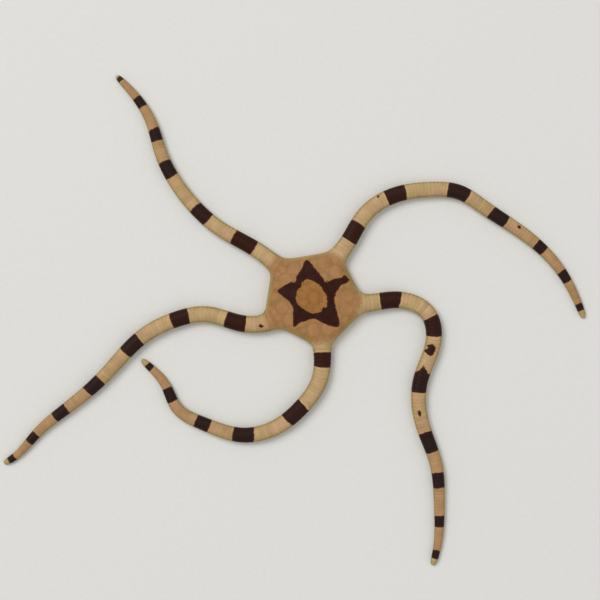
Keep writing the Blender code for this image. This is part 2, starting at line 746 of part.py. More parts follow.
def build_jaws():
    """Five jaws that point at the middle of the mouth, one between each pair of arms."""
    for i, pair in enumerate(DISC_SIDES):
        ahead, side = radius_frame(SIDE_TURN + FIFTH_TURN * i)
        rings = []
        for slack, height in ((JAW_FOOT, 0.0), (0.0, JAW_FOOT_HEIGHT), (0.0, MOUTH_DEPTH - GAP)):
            corners = jaw_outline(slack)
            rings.append([(*(ahead * along + side * aside), height) for along, aside in corners])
        paint(mesh_object(f"jaw_{pair}", *tube(rings)), CREAM)


def main():
    """Build the animal."""
    clear_scene()
    build_disc()
    build_jaws()
    for name, line in MIDLINES.items():
        build_arm(name, line)


main()
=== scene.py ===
"""A banded brittle star at life size: its skin, plates, spines and jaws, in a plain studio.

Lengths are in millimetres until a mesh is made. Routes and outlines are measured from the middle of the disc, with X
to the right and Y up the picture when the animal is seen from above, and Z = 0 is the floor. Places along an arm are
measured from the seam with the disc towards the tip.
"""

import sys
import logging
import math
from dataclasses import dataclass, field, replace
from enum import Enum

import bpy
import numpy as np
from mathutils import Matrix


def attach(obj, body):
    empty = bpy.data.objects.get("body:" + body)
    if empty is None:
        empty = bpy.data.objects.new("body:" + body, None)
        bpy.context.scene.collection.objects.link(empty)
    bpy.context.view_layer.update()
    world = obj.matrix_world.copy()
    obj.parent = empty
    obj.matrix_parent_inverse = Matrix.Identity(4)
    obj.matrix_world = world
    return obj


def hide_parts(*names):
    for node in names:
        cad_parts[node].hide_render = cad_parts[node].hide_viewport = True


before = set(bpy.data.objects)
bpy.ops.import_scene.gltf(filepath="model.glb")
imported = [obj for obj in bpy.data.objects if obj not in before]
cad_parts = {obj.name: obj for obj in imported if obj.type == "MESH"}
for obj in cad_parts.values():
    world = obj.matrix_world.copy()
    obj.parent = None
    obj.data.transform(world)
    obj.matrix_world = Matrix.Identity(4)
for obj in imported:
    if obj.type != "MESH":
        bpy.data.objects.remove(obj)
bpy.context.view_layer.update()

log = logging.getLogger("brittle_star")

MM = 0.001
DISC_PLACE = (5.5, 6.42)  # the disc's middle in the row frame
ROOT_REACH = 14.6  # from the middle of the disc to the seam with an arm
ARM_COUNT = 5
TINY = 1e-9
SIDE_ARMS = ("bc", "ab", "ea", "de", "cd")  # the arms that each side of the disc lies between
SEED = 41

Colour = tuple[float, float, float, float]
Values = dict[str, np.ndarray]


class Slot(Enum):
    """The record's material slots."""

    DISC = "disc"
    ARM = "arm"
    JAW = "jaw"


class Side(Enum):
    """The two sides of an arm, seen from above with the tip ahead."""

    RIGHT = 1
    LEFT = -1


@dataclass(frozen=True)
class Spot:
    """A dark spot on an arm: where it lies along the arm and aside of its midline, and its length and width."""

    along: float
    aside: float
    length: float
    width: float


@dataclass(frozen=True)
class Band:
    """A dark band on an arm: where it starts and ends, and how much further along its ends lie on the arm's right."""

    start: float
    end: float
    start_lean: float = 0.0
    end_lean: float = 0.0


@dataclass(frozen=True)
class ArmPlan:
    """One arm: the points that its midline passes through, its width, how it tapers, and its markings."""

    name: str
    route: tuple[tuple[float, float], ...]
    width: float
    taper: float
    bands: tuple[Band, ...]
    spots: tuple[Spot, ...] = ()


ARM_PLANS = (
    ArmPlan(
        "c",
        ((8.0, -1.5), (14.9, -1.6), (23.6, -0.8), (31.2, -4.5), (32.7, -12.4), (29.4, -22.1), (29.4, -34.0),
         (33.3, -45.4), (34.4, -57.5), (33.8, -69.0), (32.6, -74.0)),
        4.8, 34.0,
        (Band(3.75, 8.9, 0.0, -0.4), Band(19.3, 24.3), Band(35.1, 40.4, 0.35), Band(51.9, 57.4), Band(63.5, 67.5),
         Band(75.4, 78.3), Band(85.0, 87.2)),
        (Spot(28.3, 0.15, 3.4, 2.3), Spot(28.95, 0.95, 1.2, 2.1), Spot(27.5, 0.85, 1.2, 1.5),
         Spot(34.25, 0.35, 3.0, 1.1), Spot(35.1, 0.1, 2.6, 2.6), Spot(46.3, 0.2, 1.9, 0.9)),
    ),
    ArmPlan(
        "b",
        ((3.4, 7.2), (5.7, 10.3), (9.0, 14.8), (14.0, 22.8), (22.6, 28.2), (31.9, 29.6), (39.7, 28.9), (46.2, 25.0),
         (57.0, 17.8), (66.7, 8.8), (72.2, -0.6), (74.3, -5.8)),
        4.7, 33.0,
        (Band(3.7, 8.75), Band(19.6, 24.8), Band(36.7, 42.4, -0.2), Band(50.3, 55.1, -0.3), Band(65.5, 68.3),
         Band(75.8, 79.0), Band(85.9, 87.8)),
        (Spot(17.6, -1.6, 1.3, 0.6), Spot(27.0, 0.8, 0.5, 0.5), Spot(58.9, -0.7, 1.3, 0.9)),
    ),
    ArmPlan(
        "a",
        ((-5.8, 5.4), (-10.6, 9.0), (-15.2, 12.5), (-26.0, 18.8), (-35.5, 27.8), (-42.2, 39.4), (-45.2, 48.6),
         (-50.6, 56.8), (-54.6, 61.0)),
        4.5, 25.0,
        (Band(6.8, 13.1), Band(21.7, 26.5), Band(37.3, 41.7), Band(48.0, 51.2, 0.0, 0.4), Band(58.3, 61.2),
         Band(67.6, 68.8)),
    ),
    ArmPlan(
        "e",
        ((-7.4, -4.4), (-13.8, -7.2), (-20.8, -7.1), (-29.3, -4.8), (-37.9, -6.1), (-47.6, -11.1), (-56.8, -20.6),
         (-66.6, -29.4), (-76.7, -37.8), (-82.6, -44.0), (-85.6, -45.9)),
        4.8, 33.0,
        (Band(6.3, 11.6), Band(22.3, 27.0), Band(37.4, 42.6), Band(52.9, 57.5, 0.0, 0.3), Band(65.1, 69.1),
         Band(76.1, 79.0), Band(84.8, 86.7)),
        (Spot(2.0, -0.6, 1.5, 1.0),),
    ),
    ArmPlan(
        "d",
        ((1.5, -8.0), (2.1, -14.2), (1.3, -23.0), (-3.5, -30.2), (-10.5, -35.8), (-19.5, -38.0), (-30.5, -34.9),
         (-38.0, -30.4), (-41.2, -24.0), (-44.2, -20.4), (-47.6, -17.3)),
        4.7, 24.0,
        (Band(0.9, 4.6), Band(16.8, 22.7, -0.3, 0.4), Band(33.0, 38.5, -0.4, 0.1), Band(45.6, 49.4), Band(58.1, 61.9),
         Band(68.9, 70.5)),
    ),
)

# The dark star on the back, from the disc's middle: its outer edge, then the edge of the pale patch inside it.
STAR_EDGE = (
    (-2.7, 9.9), (-1.6, 9.9), (0.3, 7.6), (2.4, 5.2), (3.1, 4.0), (5.2, 4.9), (7.2, 5.2), (8.4, 6.0), (9.5, 4.8),
    (9.1, 4.1), (7.2, 3.0), (5.8, 0.8), (5.5, -1.1), (5.9, -3.1), (6.8, -6.8), (6.5, -8.2), (5.7, -8.3), (3.5, -7.7),
    (1.6, -6.8), (-0.2, -6.0), (-2.5, -6.6), (-4.1, -7.2), (-5.4, -8.2), (-5.9, -7.4), (-6.2, -2.2), (-9.5, 0.7),
    (-10.1, 1.7), (-9.5, 2.4), (-6.7, 4.0), (-5.4, 4.1), (-4.8, 5.7), (-3.2, 8.4),
)
PATCH_EDGE = (
    (-2.1, 4.8), (-0.7, 4.5), (0.6, 3.7), (1.7, 3.0), (2.2, 1.8), (3.3, 0.2), (3.4, -2.5), (2.2, -3.0), (1.6, -4.1),
    (-0.2, -4.5), (-1.4, -4.2), (-3.2, -3.1), (-4.6, -1.9), (-5.1, -0.3), (-4.6, 1.8), (-3.7, 2.7), (-3.3, 4.0),
)


def smooth_step(share: np.ndarray) -> np.ndarray:
    """Ease from 0 to 1 as share does: three of its squares less two of its cubes."""
    share = np.clip(share, 0.0, 1.0)
    return share * share * (3 - 2 * share)


def natural_spline(knots: np.ndarray, values: np.ndarray, at: np.ndarray) -> np.ndarray:
    """Read the natural cubic spline through some points.

    Its second derivatives at the knots solve the usual three-diagonal system, with none at the ends, and between
    two knots the curve is the cubic that they and the values give.

    Args:
        knots: Places of the points, rising.
        values: The points, one row each.
        at: Places to read the curve at.

    Returns:
        One row for each place.
    """
    step = np.diff(knots)
    count = len(knots)
    system = np.eye(count)
    bend = np.zeros((count, values.shape[1]))
    inner = np.arange(1, count - 1)
    system[inner, inner - 1] = step[:-1]
    system[inner, inner] = 2 * (step[:-1] + step[1:])
    system[inner, inner + 1] = step[1:]
    slope = np.diff(values, axis=0) / step[:, None]
    bend[1:-1] = 6 * np.diff(slope, axis=0)
    bend = np.linalg.solve(system, bend)
    k = np.clip(np.searchsorted(knots, at) - 1, 0, count - 2)
    wide = step[k][:, None]
    after = (at - knots[k])[:, None]
    before = wide - after
    return (
        (bend[k] * before**3 + bend[k + 1] * after**3) / (6 * wide)
        + (values[k] / wide - bend[k] * wide / 6) * before
        + (values[k + 1] / wide - bend[k + 1] * wide / 6) * after
    )


def towards(turn: np.ndarray | float) -> np.ndarray:
    """Return the unit vectors at angles from the X axis."""
    return np.stack([np.cos(turn), np.sin(turn)], axis=-1)


def to_right(ahead: np.ndarray) -> np.ndarray:
    """Return vectors turned a quarter to the right."""
    return np.stack([ahead[..., 1], -ahead[..., 0]], axis=-1)


def circle(around: int) -> np.ndarray:
    """Return the unit vectors to even places round a circle."""
    return towards(np.linspace(0, 2 * math.pi, around, endpoint=False))


def path_lengths(points: np.ndarray) -> np.ndarray:
    """Return each point's distance along a path through all of them."""
    return np.concatenate([[0], np.cumsum(np.linalg.norm(np.diff(points, axis=0), axis=1))])


def read_path(at: np.ndarray, along: np.ndarray, points: np.ndarray) -> np.ndarray:
    """Return the points at places along a path, with X and Y last."""
    return np.stack([np.interp(at, along, points[:, axis]) for axis in (0, 1)], axis=-1)


def raised(plan: np.ndarray, height: np.ndarray | float) -> np.ndarray:
    """Return points of a plan at a height, with X, Y and Z last."""
    return np.concatenate([plan, np.broadcast_to(height, plan.shape[:-1])[..., None]], axis=-1)


def fanned(middle: np.ndarray, ahead: np.ndarray, reach: np.ndarray, shares: np.ndarray) -> np.ndarray:
    """Return rings of points round middles: each ring is a share of the outline that the reaches give.

    Args:
        middle: The middles, by form.
        ahead: The unit vectors round a middle.
        reach: How far the outline is, by form and direction.
        shares: How far out each ring lies, from 0 to 1.

    Returns:
        Points by form, ring and place round.
    """
    return middle[:, None, None] + ahead * (reach[:, None] * shares[:, None])[..., None]


@dataclass
class Midline:
    """An arm's route as a smooth curve measured along its length, and the arm's width along it.

    The tip's rounding starts tip_round before its end, where the width has fallen to tip_share of the full one, and
    ends at tip_least of that.
    """

    plan: ArmPlan
    spacing: float = 0.1
    half_step: float = 0.5
    tip_round: float = 2.5
    tip_share: float = 0.36
    tip_least: float = 0.35
    flare: float = 0.3
    flare_length: float = 4.0
    height_share: float = 0.78

    def __post_init__(self) -> None:
        """Read the spline at even steps, and find the seam, where it passes ROOT_REACH."""
        corners = np.array(self.plan.route, float)
        knots = path_lengths(corners)
        self.points = natural_spline(knots, corners, np.linspace(0, knots[-1], int(knots[-1] / self.spacing)))
        along = path_lengths(self.points)
        first = slice(len(along) // 4)  # the part that holds the seam
        self.along = along - np.interp(ROOT_REACH, np.linalg.norm(self.points[first], axis=1), along[first])
        self.length = float(self.along[-1])

    def place(self, s: np.ndarray | float) -> np.ndarray:
        """Return the points at distances along the arm, with X and Y last."""
        return read_path(s, self.along, self.points)

    def ahead(self, s: np.ndarray | float) -> np.ndarray:
        """Return the unit vectors towards the tip, from the points half a step before and after."""
        step = self.place(s + self.half_step) - self.place(s - self.half_step)
        return step / np.linalg.norm(step, axis=-1, keepdims=True)

    def aside(self, s: np.ndarray | float) -> np.ndarray:
        """Return the unit vectors to the arm's right."""
        return to_right(self.ahead(s))

    def width(self, s: np.ndarray | float) -> np.ndarray:
        """Return the full width: full near the disc, falling off exponentially to the tip, which is rounded."""
        left = np.maximum(self.length - s, 0.0)
        body = self.plan.width * (self.tip_share + (1 - self.tip_share) * (1 - np.exp(-left / self.plan.taper)))
        body = body + self.flare * np.exp(-np.maximum(s, 0.0) / self.flare_length)
        end = np.clip(left / self.tip_round, 0.0, 1.0)
        return body * (self.tip_least + (1 - self.tip_least) * np.sqrt(1 - (1 - end) ** 2))

    def scale(self, s: np.ndarray | float) -> np.ndarray:
        """Return the width as a share of the arm's full one."""
        return self.width(s) / self.plan.width

    def skeleton(self, reach: np.ndarray | float) -> np.ndarray:
        """Return points at distances from the disc's middle, straight to the route's first point and then along it."""
        reach = np.asarray(reach, float)
        first = self.points[0]
        start = np.linalg.norm(first)
        near = first * (reach / start)[..., None]
        return np.where((reach < start)[..., None], near, self.place(reach - ROOT_REACH))

    def heading(self, reach: np.ndarray | float, half: float) -> np.ndarray:
        """Return the unit vectors along the skeleton, from the points half a step before and after."""
        step = self.skeleton(reach + half) - self.skeleton(reach - half)
        return step / np.linalg.norm(step, axis=-1, keepdims=True)


@dataclass
class BodyPlan:
    """The form that every piece lies on: the disc's outline and height, and the arms' sections."""

    disc_sides: tuple[float, ...] = (11.5, 11.45, 12.75, 11.7, 12.3)
    side_turn: float = 27.3
    fillet: float = 0.72
    root_start: float = -7.5
    root_end: float = 6.0
    root_every: int = 2
    edge_round: float = 2.5
    rim_height: float = 3.9
    rim_middle: float = 1.6
    dome_height: float = 1.1
    dome_reach: float = 13.0
    under_lift: float = 0.35
    under_inset: float = 1.0
    under_power: float = 5.5
    lobe_reach: float = 9.6
    lobe_radius: float = 2.7
    lobe_power: float = 1.5
    lobe_rise: float = 0.12
    lobe_level: float = 0.35
    lobe_fade: float = 3.0
    tan_end: float = -1.0
    tan_left: float = 2.2
    tan_left_start: float = 2.0
    tan_left_fade: float = 4.0
    tan_slope: float = 2.0
    blend_start: float = -3.0
    blend_end: float = 4.0
    arm_rise: float = 0.1
    section_power: float = 3.33
    section_root: float = 4.0
    section_height: float = 1.56
    curve_points: int = 241
    table_start: float = -3.4
    table_step: float = 0.1
    table_far: int = 800
    probe: float = 0.2
    halvings: int = 14

    def __post_init__(self) -> None:
        """Lay the midlines, the table of the arms' section, and the tables of the arms' half widths."""
        self.lines = {plan.name: Midline(plan) for plan in ARM_PLANS}
        self.turns = np.radians(self.side_turn + 360 / ARM_COUNT * np.arange(ARM_COUNT))
        self.roots = []
        for line in self.lines.values():
            near = np.flatnonzero((line.along > self.root_start) & (line.along < self.root_end))[:: self.root_every]
            self.roots.append((line.points[near], line.width(line.along[near]) / 2))
        self._lay_section()
        self.half_tables = {name: self._half_table(line) for name, line in self.lines.items()}

    def _lay_section(self) -> None:
        """Tabulate half an arm's section by its share of the way round, from the ridge to the middle of the underside.

        The upper quarter is an ellipse. The lower quarter is a superellipse that is nearly flat below and nearly
        upright at the side. Both are given for a half width of 1 and a height of 1.
        """
        turn = np.linspace(0, math.pi / 2, self.curve_points)
        rise = np.sin(turn)
        across = np.concatenate([rise, (1 - rise[1:] ** self.section_power) ** (1 / self.section_root)])
        up = np.concatenate([0.5 + 0.5 * np.cos(turn), 0.5 * (1 - rise[1:])])
        lengths = path_lengths(np.stack([across, self.section_height * up], axis=-1))
        self.round_share = lengths / lengths[-1]
        self.section_across = across
        self.section_up = up
        self.side_share = float(self.round_share[self.curve_points - 1])

    def section_share(self, share: np.ndarray) -> tuple[np.ndarray, np.ndarray]:
        """Return how far out and how high the section is, as shares, at shares of the way round it."""
        share = np.abs(share)
        return (
            np.interp(share, self.round_share, self.section_across),
            np.interp(share, self.round_share, self.section_up),
        )

    def inside(self, x: np.ndarray, y: np.ndarray) -> np.ndarray:
        """Return how far inside the animal's outline points are, near the disc.

        It is the smooth maximum, by the logarithm of a sum of exponentials, of the depth inside the five-sided disc
        and the depths inside the arms' roots.
        """
        depths = [np.min([far - x * math.cos(turn) - y * math.sin(turn)
                          for far, turn in zip(self.disc_sides, self.turns)], axis=0)]
        for points, halves in self.roots:
            apart = np.hypot(x[..., None] - points[:, 0], y[..., None] - points[:, 1])
            depths.append((halves - apart).max(axis=-1))
        return self.fillet * np.log(np.exp(np.stack(depths) / self.fillet).sum(axis=0))

    def lobes(self, x: np.ndarray, y: np.ndarray) -> np.ndarray:
        """Return how strongly the swellings over the arms' roots show, as a bell curve round each one's middle."""
        total = np.zeros_like(x)
        for line in self.lines.values():
            middle = line.skeleton(self.lobe_reach)
            apart = (x - middle[0]) ** 2 + (y - middle[1]) ** 2
            total = total + np.exp(-((apart / (2 * self.lobe_radius**2)) ** self.lobe_power))
        return total

    def tan(self, x: np.ndarray, y: np.ndarray) -> np.ndarray:
        """Return how far points have the back's tan, which ends in a slope round it, further out on the left."""
        end = ROOT_REACH + self.tan_end
        end = end + self.tan_left * smooth_step((-x - self.tan_left_start) / self.tan_left_fade)
        return smooth_step((end - np.hypot(x, y)) / self.tan_slope)

    def top(self, x: np.ndarray, y: np.ndarray) -> np.ndarray:
        """Return the height of the back: a rounded rim, a low dome on it, and the swellings over the arms' roots."""
        rim = np.clip(self.inside(x, y) / self.edge_round, 0.0, 1.0)
        reach = x**2 + y**2
        dome = np.clip(1 - reach / self.dome_reach**2, 0.0, 1.0)
        lobe = self.lobes(x, y) * smooth_step((ROOT_REACH - np.sqrt(reach)) / self.lobe_fade)
        return (
            self.rim_middle
            + (self.rim_height - self.rim_middle) * np.sqrt(1 - (1 - rim) ** 2)
            + self.dome_height * dome**2
            + self.lobe_rise * (lobe - self.lobe_level) * rim * dome
        )

    def under(self, inset: np.ndarray) -> np.ndarray:
        """Return the height of the disc's underside at distances in from its edge, flat but for a rounded edge."""
        share = 1 - np.clip(inset / self.under_inset, 0.0, 1.0)
        return self.under_lift + (self.rim_middle - self.under_lift) * share**self.under_power

    def blend(self, s: np.ndarray) -> np.ndarray:
        """Return how far the surface has gone over from the disc's to the arm's at distances along an arm."""
        return smooth_step((s - self.blend_start) / (self.blend_end - self.blend_start))

    def edge_reach(self, starts: np.ndarray, aheads: np.ndarray, limit: float = 16.0) -> np.ndarray:
        """Return how far straight lines run before they leave the outline.

        The first sign change over even steps is narrowed by halving.

        Args:
            starts: Where each line starts, one row each.
            aheads: The lines' unit vectors.
            limit: The furthest to look.

        Returns:
            One distance for each line.
        """
        reach = np.arange(self.probe, limit, self.probe)
        path = starts[:, None, :] + aheads[:, None, :] * reach[:, None]
        beyond = self.inside(path[..., 0], path[..., 1]) < 0
        high = np.where(beyond.any(axis=1), reach[np.argmax(beyond, axis=1)], limit)
        low = high - self.probe
        for _ in range(self.halvings):
            middle = (low + high) / 2
            point = starts + aheads * middle[:, None]
            within = self.inside(point[:, 0], point[:, 1]) > 0
            low = np.where(within, middle, low)
            high = np.where(within, high, middle)
        return low

    def rim(self, aheads: np.ndarray, limit: float = 16.0) -> np.ndarray:
        """Return where lines from the disc's middle leave the outline."""
        return aheads * self.edge_reach(np.zeros_like(aheads), aheads, limit)[:, None]

    def _half_table(self, line: Midline) -> np.ndarray:
        """Tabulate an arm's half widths to the right and left, which follow the disc's outline near the seam."""
        near = np.arange(self.table_start, self.blend_end + self.table_step / 2, self.table_step)
        even = line.width(near) / 2
        start, aside = line.place(near), line.aside(near)
        right, left = (np.maximum(even, self.edge_reach(start, way)) for way in (aside, -aside))
        far = np.linspace(self.blend_end + 2 * self.table_step, line.length, self.table_far)
        rest = line.width(far) / 2
        return np.stack([np.concatenate([near, far]), np.concatenate([right, rest]), np.concatenate([left, rest])])

    def half_width(self, name: str, s: np.ndarray, share: np.ndarray | float) -> np.ndarray:
        """Return an arm's half width at distances along it, on the side that the share's sign gives."""
        table = self.half_tables[name]
        return np.where(share >= 0, np.interp(s, table[0], table[1]), np.interp(s, table[0], table[2]))

    def shell(self, name: str, s: np.ndarray, share: np.ndarray | float, lift: np.ndarray | float) -> np.ndarray:
        """Return points on an arm's surface, which near the seam flows into the disc's.

        The point is the midline's, moved aside and up by the section, then outwards by the lift, which is scaled
        with the arm's width. The direction outwards turns evenly from up to down round the section.

        Args:
            name: The arm.
            s: Distances along it.
            share: Shares of the way round from the ridge, positive to the right, 1 at the middle of the underside.
            lift: How far outwards from the surface, in millimetres where the arm has its full width.

        Returns:
            Points with X, Y and Z last.
        """
        line = self.lines[name]
        s, share, lift = np.broadcast_arrays(s, share, lift)
        half = self.half_width(name, s, share)
        across, up = self.section_share(share)
        sign = np.where(share >= 0, 1.0, -1.0)
        aside = line.aside(s)
        plan = line.place(s) + aside * (sign * across * half)[..., None]
        near = s < self.blend_end
        height = up * line.width(s) * line.height_share
        if near.any():
            x, y = plan[near].T
            upper = np.abs(share[near]) <= self.side_share
            disc = np.where(upper, self.top(x, y) + self.arm_rise, self.under(half[near] * (1 - across[near])))
            weight = self.blend(s[near])
            height[near] = disc * (1 - weight) + height[near] * weight
        turn = math.pi * share
        out = lift * half / (line.plan.width / 2)
        plan = plan + aside * (np.sin(turn) * out)[..., None]
        return raised(plan, np.maximum(height + np.cos(turn) * out, 0.0))


def rounded_outline(corners: tuple[tuple[float, float], ...], parts: int = 5) -> np.ndarray:
    """Return a closed outline with its corners rounded off.

    Between two corners it is the cubic through both whose slopes there are half the step between their neighbours.

    Args:
        corners: The corners in order.
        parts: Points from one corner to the next.

    Returns:
        The outline's points.
    """
    here = np.array(corners, float)
    before, after, beyond = (np.roll(here, shift, axis=0) for shift in (1, -1, -2))
    share = (np.arange(parts) / parts)[None, :, None]
    start, end = (after - before)[:, None] / 2, (beyond - here)[:, None] / 2
    here, after = here[:, None], after[:, None]
    return (
        (2 * share**3 - 3 * share**2 + 1) * here + (share**3 - 2 * share**2 + share) * start
        + (3 * share**2 - 2 * share**3) * after + (share**3 - share**2) * end
    ).reshape(-1, 2)


def polygon_depth(x: np.ndarray, y: np.ndarray, corners: np.ndarray) -> np.ndarray:
    """Return how far inside a polygon points are, negative outside.

    The distance is the least to any of its edges, and the sign comes from how many edges a ray to the right crosses.

    Args:
        x: Places across.
        y: Places up.
        corners: The polygon's corners in order.

    Returns:
        One depth for each point.
    """
    start = corners
    end = np.roll(start, -1, axis=0)
    edge = end - start
    apart = np.stack([x[..., None] - start[:, 0], y[..., None] - start[:, 1]], axis=-1)
    share = np.clip((apart * edge).sum(-1) / (edge**2).sum(-1), 0.0, 1.0)
    distance = np.linalg.norm(apart - edge * share[..., None], axis=-1).min(axis=-1)
    straddles = (start[:, 1] > y[..., None]) != (end[:, 1] > y[..., None])
    rise = np.where(edge[:, 1] == 0, TINY, edge[:, 1])
    crossing = start[:, 0] + (y[..., None] - start[:, 1]) * edge[:, 0] / rise
    within = (straddles & (x[..., None] < crossing)).sum(-1) % 2 == 1
    return np.where(within, distance, -distance)


@dataclass
class Markings:
    """The dark pattern, and what else the materials read at each point.

    The pattern is a star on the back, and bands and spots on the arms, each as a depth inside it. The other values
    fade on the underside, each to its own share.
    """

    body: BodyPlan
    start_bow: float = 0.25
    end_bow: float = 0.35
    fade_share: float = 0.66
    fade_slope: float = 1.5
    nowhere: float = -3.0
    rim_width: float = 2.0
    rim_side: float = 0.9
    disc_fade: float = 1.2
    arm_fade_start: float = 0.7
    arm_fade: float = 0.2
    tan_fade: float = 0.75
    rim_fade: float = 0.5
    side_fade: float = 0.7
    side_most: float = 1.3
    tip_start: float = 3.5
    tip_slope: float = 2.0
    lobe_share: float = 0.8

    def __post_init__(self) -> None:
        """Round off the star's two outlines."""
        self.star = rounded_outline(STAR_EDGE)
        self.patch = rounded_outline(PATCH_EDGE)

    def arm(self, name: str, s: np.ndarray, share: np.ndarray) -> np.ndarray:
        """Return how far inside a band or spot points of an arm are.

        A band's ends bow outwards over the ridge and lean as the band says, and it fades out low on the sides. A spot
        is an ellipse, whose depth is its short half times one less the point's share of the way out.

        Args:
            name: The arm.
            s: Distances along it.
            share: Shares of the way round from the ridge.

        Returns:
            One depth for each point.
        """
        line = self.body.lines[name]
        lateral = np.clip(share / self.body.side_share, -1.0, 1.0)
        ridge = (1 - lateral**2) * line.scale(s)
        depth = np.full(np.broadcast(s, share).shape, self.nowhere)
        for band in line.plan.bands:
            after = s - (band.start + band.start_lean * lateral - self.start_bow * ridge)
            before = band.end + band.end_lean * lateral + self.end_bow * ridge - s
            depth = np.maximum(depth, np.minimum(after, before))
        across = np.sign(share) * self.body.section_share(share)[0] * line.width(s) / 2
        for spot in line.plan.spots:
            out = np.hypot((s - spot.along) * 2 / spot.length, (across - spot.aside) * 2 / spot.width)
            depth = np.maximum(depth, (1 - out) * min(spot.length, spot.width) / 2)
        return np.minimum(depth, (self.fade_share - np.abs(share)) * line.plan.width * self.fade_slope)

    def disc_values(self, points: np.ndarray, groove: np.ndarray | float) -> Values:
        """Return what the materials read at points of the disc, by name.

        Args:
            points: Points of the disc.
            groove: How deep in a groove each is; the finishes lay painted shade there.

        Returns:
            The values by name.
        """
        x, y, z = np.moveaxis(points, -1, 0)
        rim = np.clip(self.body.inside(x, y) / self.rim_width, 0.0, 1.0)
        below = smooth_step((self.body.rim_middle - z) / self.disc_fade)
        tan = self.body.tan(x, y) * (1 - self.tan_fade * below)
        return {
            "marking": np.where(z > self.body.rim_middle, polygon_depth(x, y, self.star), self.nowhere),
            "patch": np.where(below > 0, self.nowhere, polygon_depth(x, y, self.patch)),
            "groove": np.broadcast_to(groove, x.shape),
            "side": (1 - rim) * self.rim_side * (1 - self.rim_fade * below),
            "tipward": np.zeros_like(x),
            "disc": tan,
            "lobe": np.clip(self.body.lobes(x, y), 0, 1) * tan * self.lobe_share,
            "tint": np.zeros_like(x),
        }

    def arm_values(self, name: str, s: np.ndarray, share: np.ndarray, groove: np.ndarray | float) -> Values:
        """Return what the materials read at points of an arm, by name.

        Args:
            name: The arm.
            s: Distances along it.
            share: Shares of the way round from the ridge.
            groove: How deep in a groove each is; the finishes lay painted shade there.

        Returns:
            The values by name.
        """
        s, share, groove = np.broadcast_arrays(s, share, groove)
        line = self.body.lines[name]
        below = smooth_step((np.abs(share) - self.arm_fade_start) / self.arm_fade)
        tan = self.body.tan(*np.moveaxis(line.place(s), -1, 0)) * (1 - self.tan_fade * below)
        side = np.clip(np.abs(share) / self.body.side_share, 0.0, self.side_most) * (1 - self.side_fade * below)
        return {
            "marking": self.arm(name, s, share),
            "patch": np.full(s.shape, self.nowhere),
            "groove": groove,
            "side": np.maximum(side, smooth_step((s - line.length + self.tip_start) / self.tip_slope)),
            "tipward": np.clip(s / line.length, 0.0, 1.0),
            "disc": tan,
            "lobe": tan * self.lobe_share,
            "tint": np.zeros_like(s),
        }


@dataclass
class Surface:
    """Points with their faces, and the values that the materials read at each point.

    The faces are arrays with one row for each face, one array for each number of corners or more.
    """

    points: np.ndarray
    faces: list[np.ndarray]
    values: dict[str, np.ndarray] = field(default_factory=dict)

    @staticmethod
    def join(surfaces: list["Surface"]) -> "Surface":
        """Return one surface of several, each with its faces moved past the points before it."""
        shifts = np.cumsum([0] + [len(surface.points) for surface in surfaces[:-1]])
        return Surface(
            np.concatenate([surface.points for surface in surfaces]),
            [faces + shift for surface, shift in zip(surfaces, shifts) for faces in surface.faces],
            {name: np.concatenate([surface.values[name] for surface in surfaces]) for name in surfaces[0].values},
        )

    def object(self, name: str, material: bpy.types.Material | None = None) -> bpy.types.Object:
        """Make a mesh object of the surface in the row frame, in metres, shaded smooth.

        Args:
            name: The object's name.
            material: Its finish, if it has one.

        Returns:
            The object, at the origin.
        """
        mesh = bpy.data.meshes.new(name)
        points = (self.points + np.array([*DISC_PLACE, 0.0])) * MM
        corners = np.concatenate([faces.ravel() for faces in self.faces]).astype(np.int32)
        sizes = np.concatenate([np.full(len(faces), faces.shape[1]) for faces in self.faces])
        mesh.vertices.add(len(points))
        mesh.vertices.foreach_set("co", points.astype(np.float32).ravel())
        mesh.loops.add(len(corners))
        mesh.loops.foreach_set("vertex_index", corners)
        mesh.polygons.add(len(sizes))
        mesh.polygons.foreach_set("loop_start", np.concatenate([[0], np.cumsum(sizes)[:-1]]).astype(np.int32))
        mesh.polygons.foreach_set("use_smooth", np.ones(len(sizes), bool))
        for key, value in self.values.items():
            attribute = mesh.attributes.new(key, "FLOAT", "POINT")
            attribute.data.foreach_set("value", np.asarray(value, np.float32).ravel())
        mesh.update(calc_edges=True)
        made = bpy.data.objects.new(name, mesh)
        bpy.context.scene.collection.objects.link(made)
        if material is not None:
            mesh.materials.append(material)
        return made


def outward(points: np.ndarray, layout: list[np.ndarray]) -> list[np.ndarray]:
    """Turn the faces of many closed forms that share one layout so that they all face outwards.

    A form whose signed volume, the sum of its faces' triple products about its own middle, is negative has its faces
    turned over.

    Args:
        points: The forms' points, by form and point.
        layout: One form's faces.

    Returns:
        The faces of all the forms, with the points of the forms in one row.
    """
    local = points - points.mean(axis=1, keepdims=True)
    parts = np.concatenate([faces[:, [0, k, k + 1]] for faces in layout for k in range(1, faces.shape[1] - 1)])
    a, b, c = (local[:, parts[:, k]] for k in range(3))
    inwards = np.einsum("pfk,pfk->p", a, np.cross(b, c)) < 0
    shift = (np.arange(len(points)) * points.shape[1])[:, None, None]
    return [(np.where(inwards[:, None, None], faces[None, :, ::-1], faces[None]) + shift).reshape(-1, faces.shape[1])
            for faces in layout]


def grid_quads(rows: int, columns: int, wrap: bool = False) -> np.ndarray:
    """Return the faces between the points of a grid that are numbered row by row.

    Args:
        rows: How many rows of points.
        columns: How many points in a row.
        wrap: Whether each row closes on itself.

    Returns:
        Four corners for each face.
    """
    r, c = np.meshgrid(np.arange(rows - 1), np.arange(columns if wrap else columns - 1), indexing="ij")
    after = (c + 1) % columns
    return np.stack([r * columns + c, r * columns + after, (r + 1) * columns + after, (r + 1) * columns + c],
                    axis=-1).reshape(-1, 4)


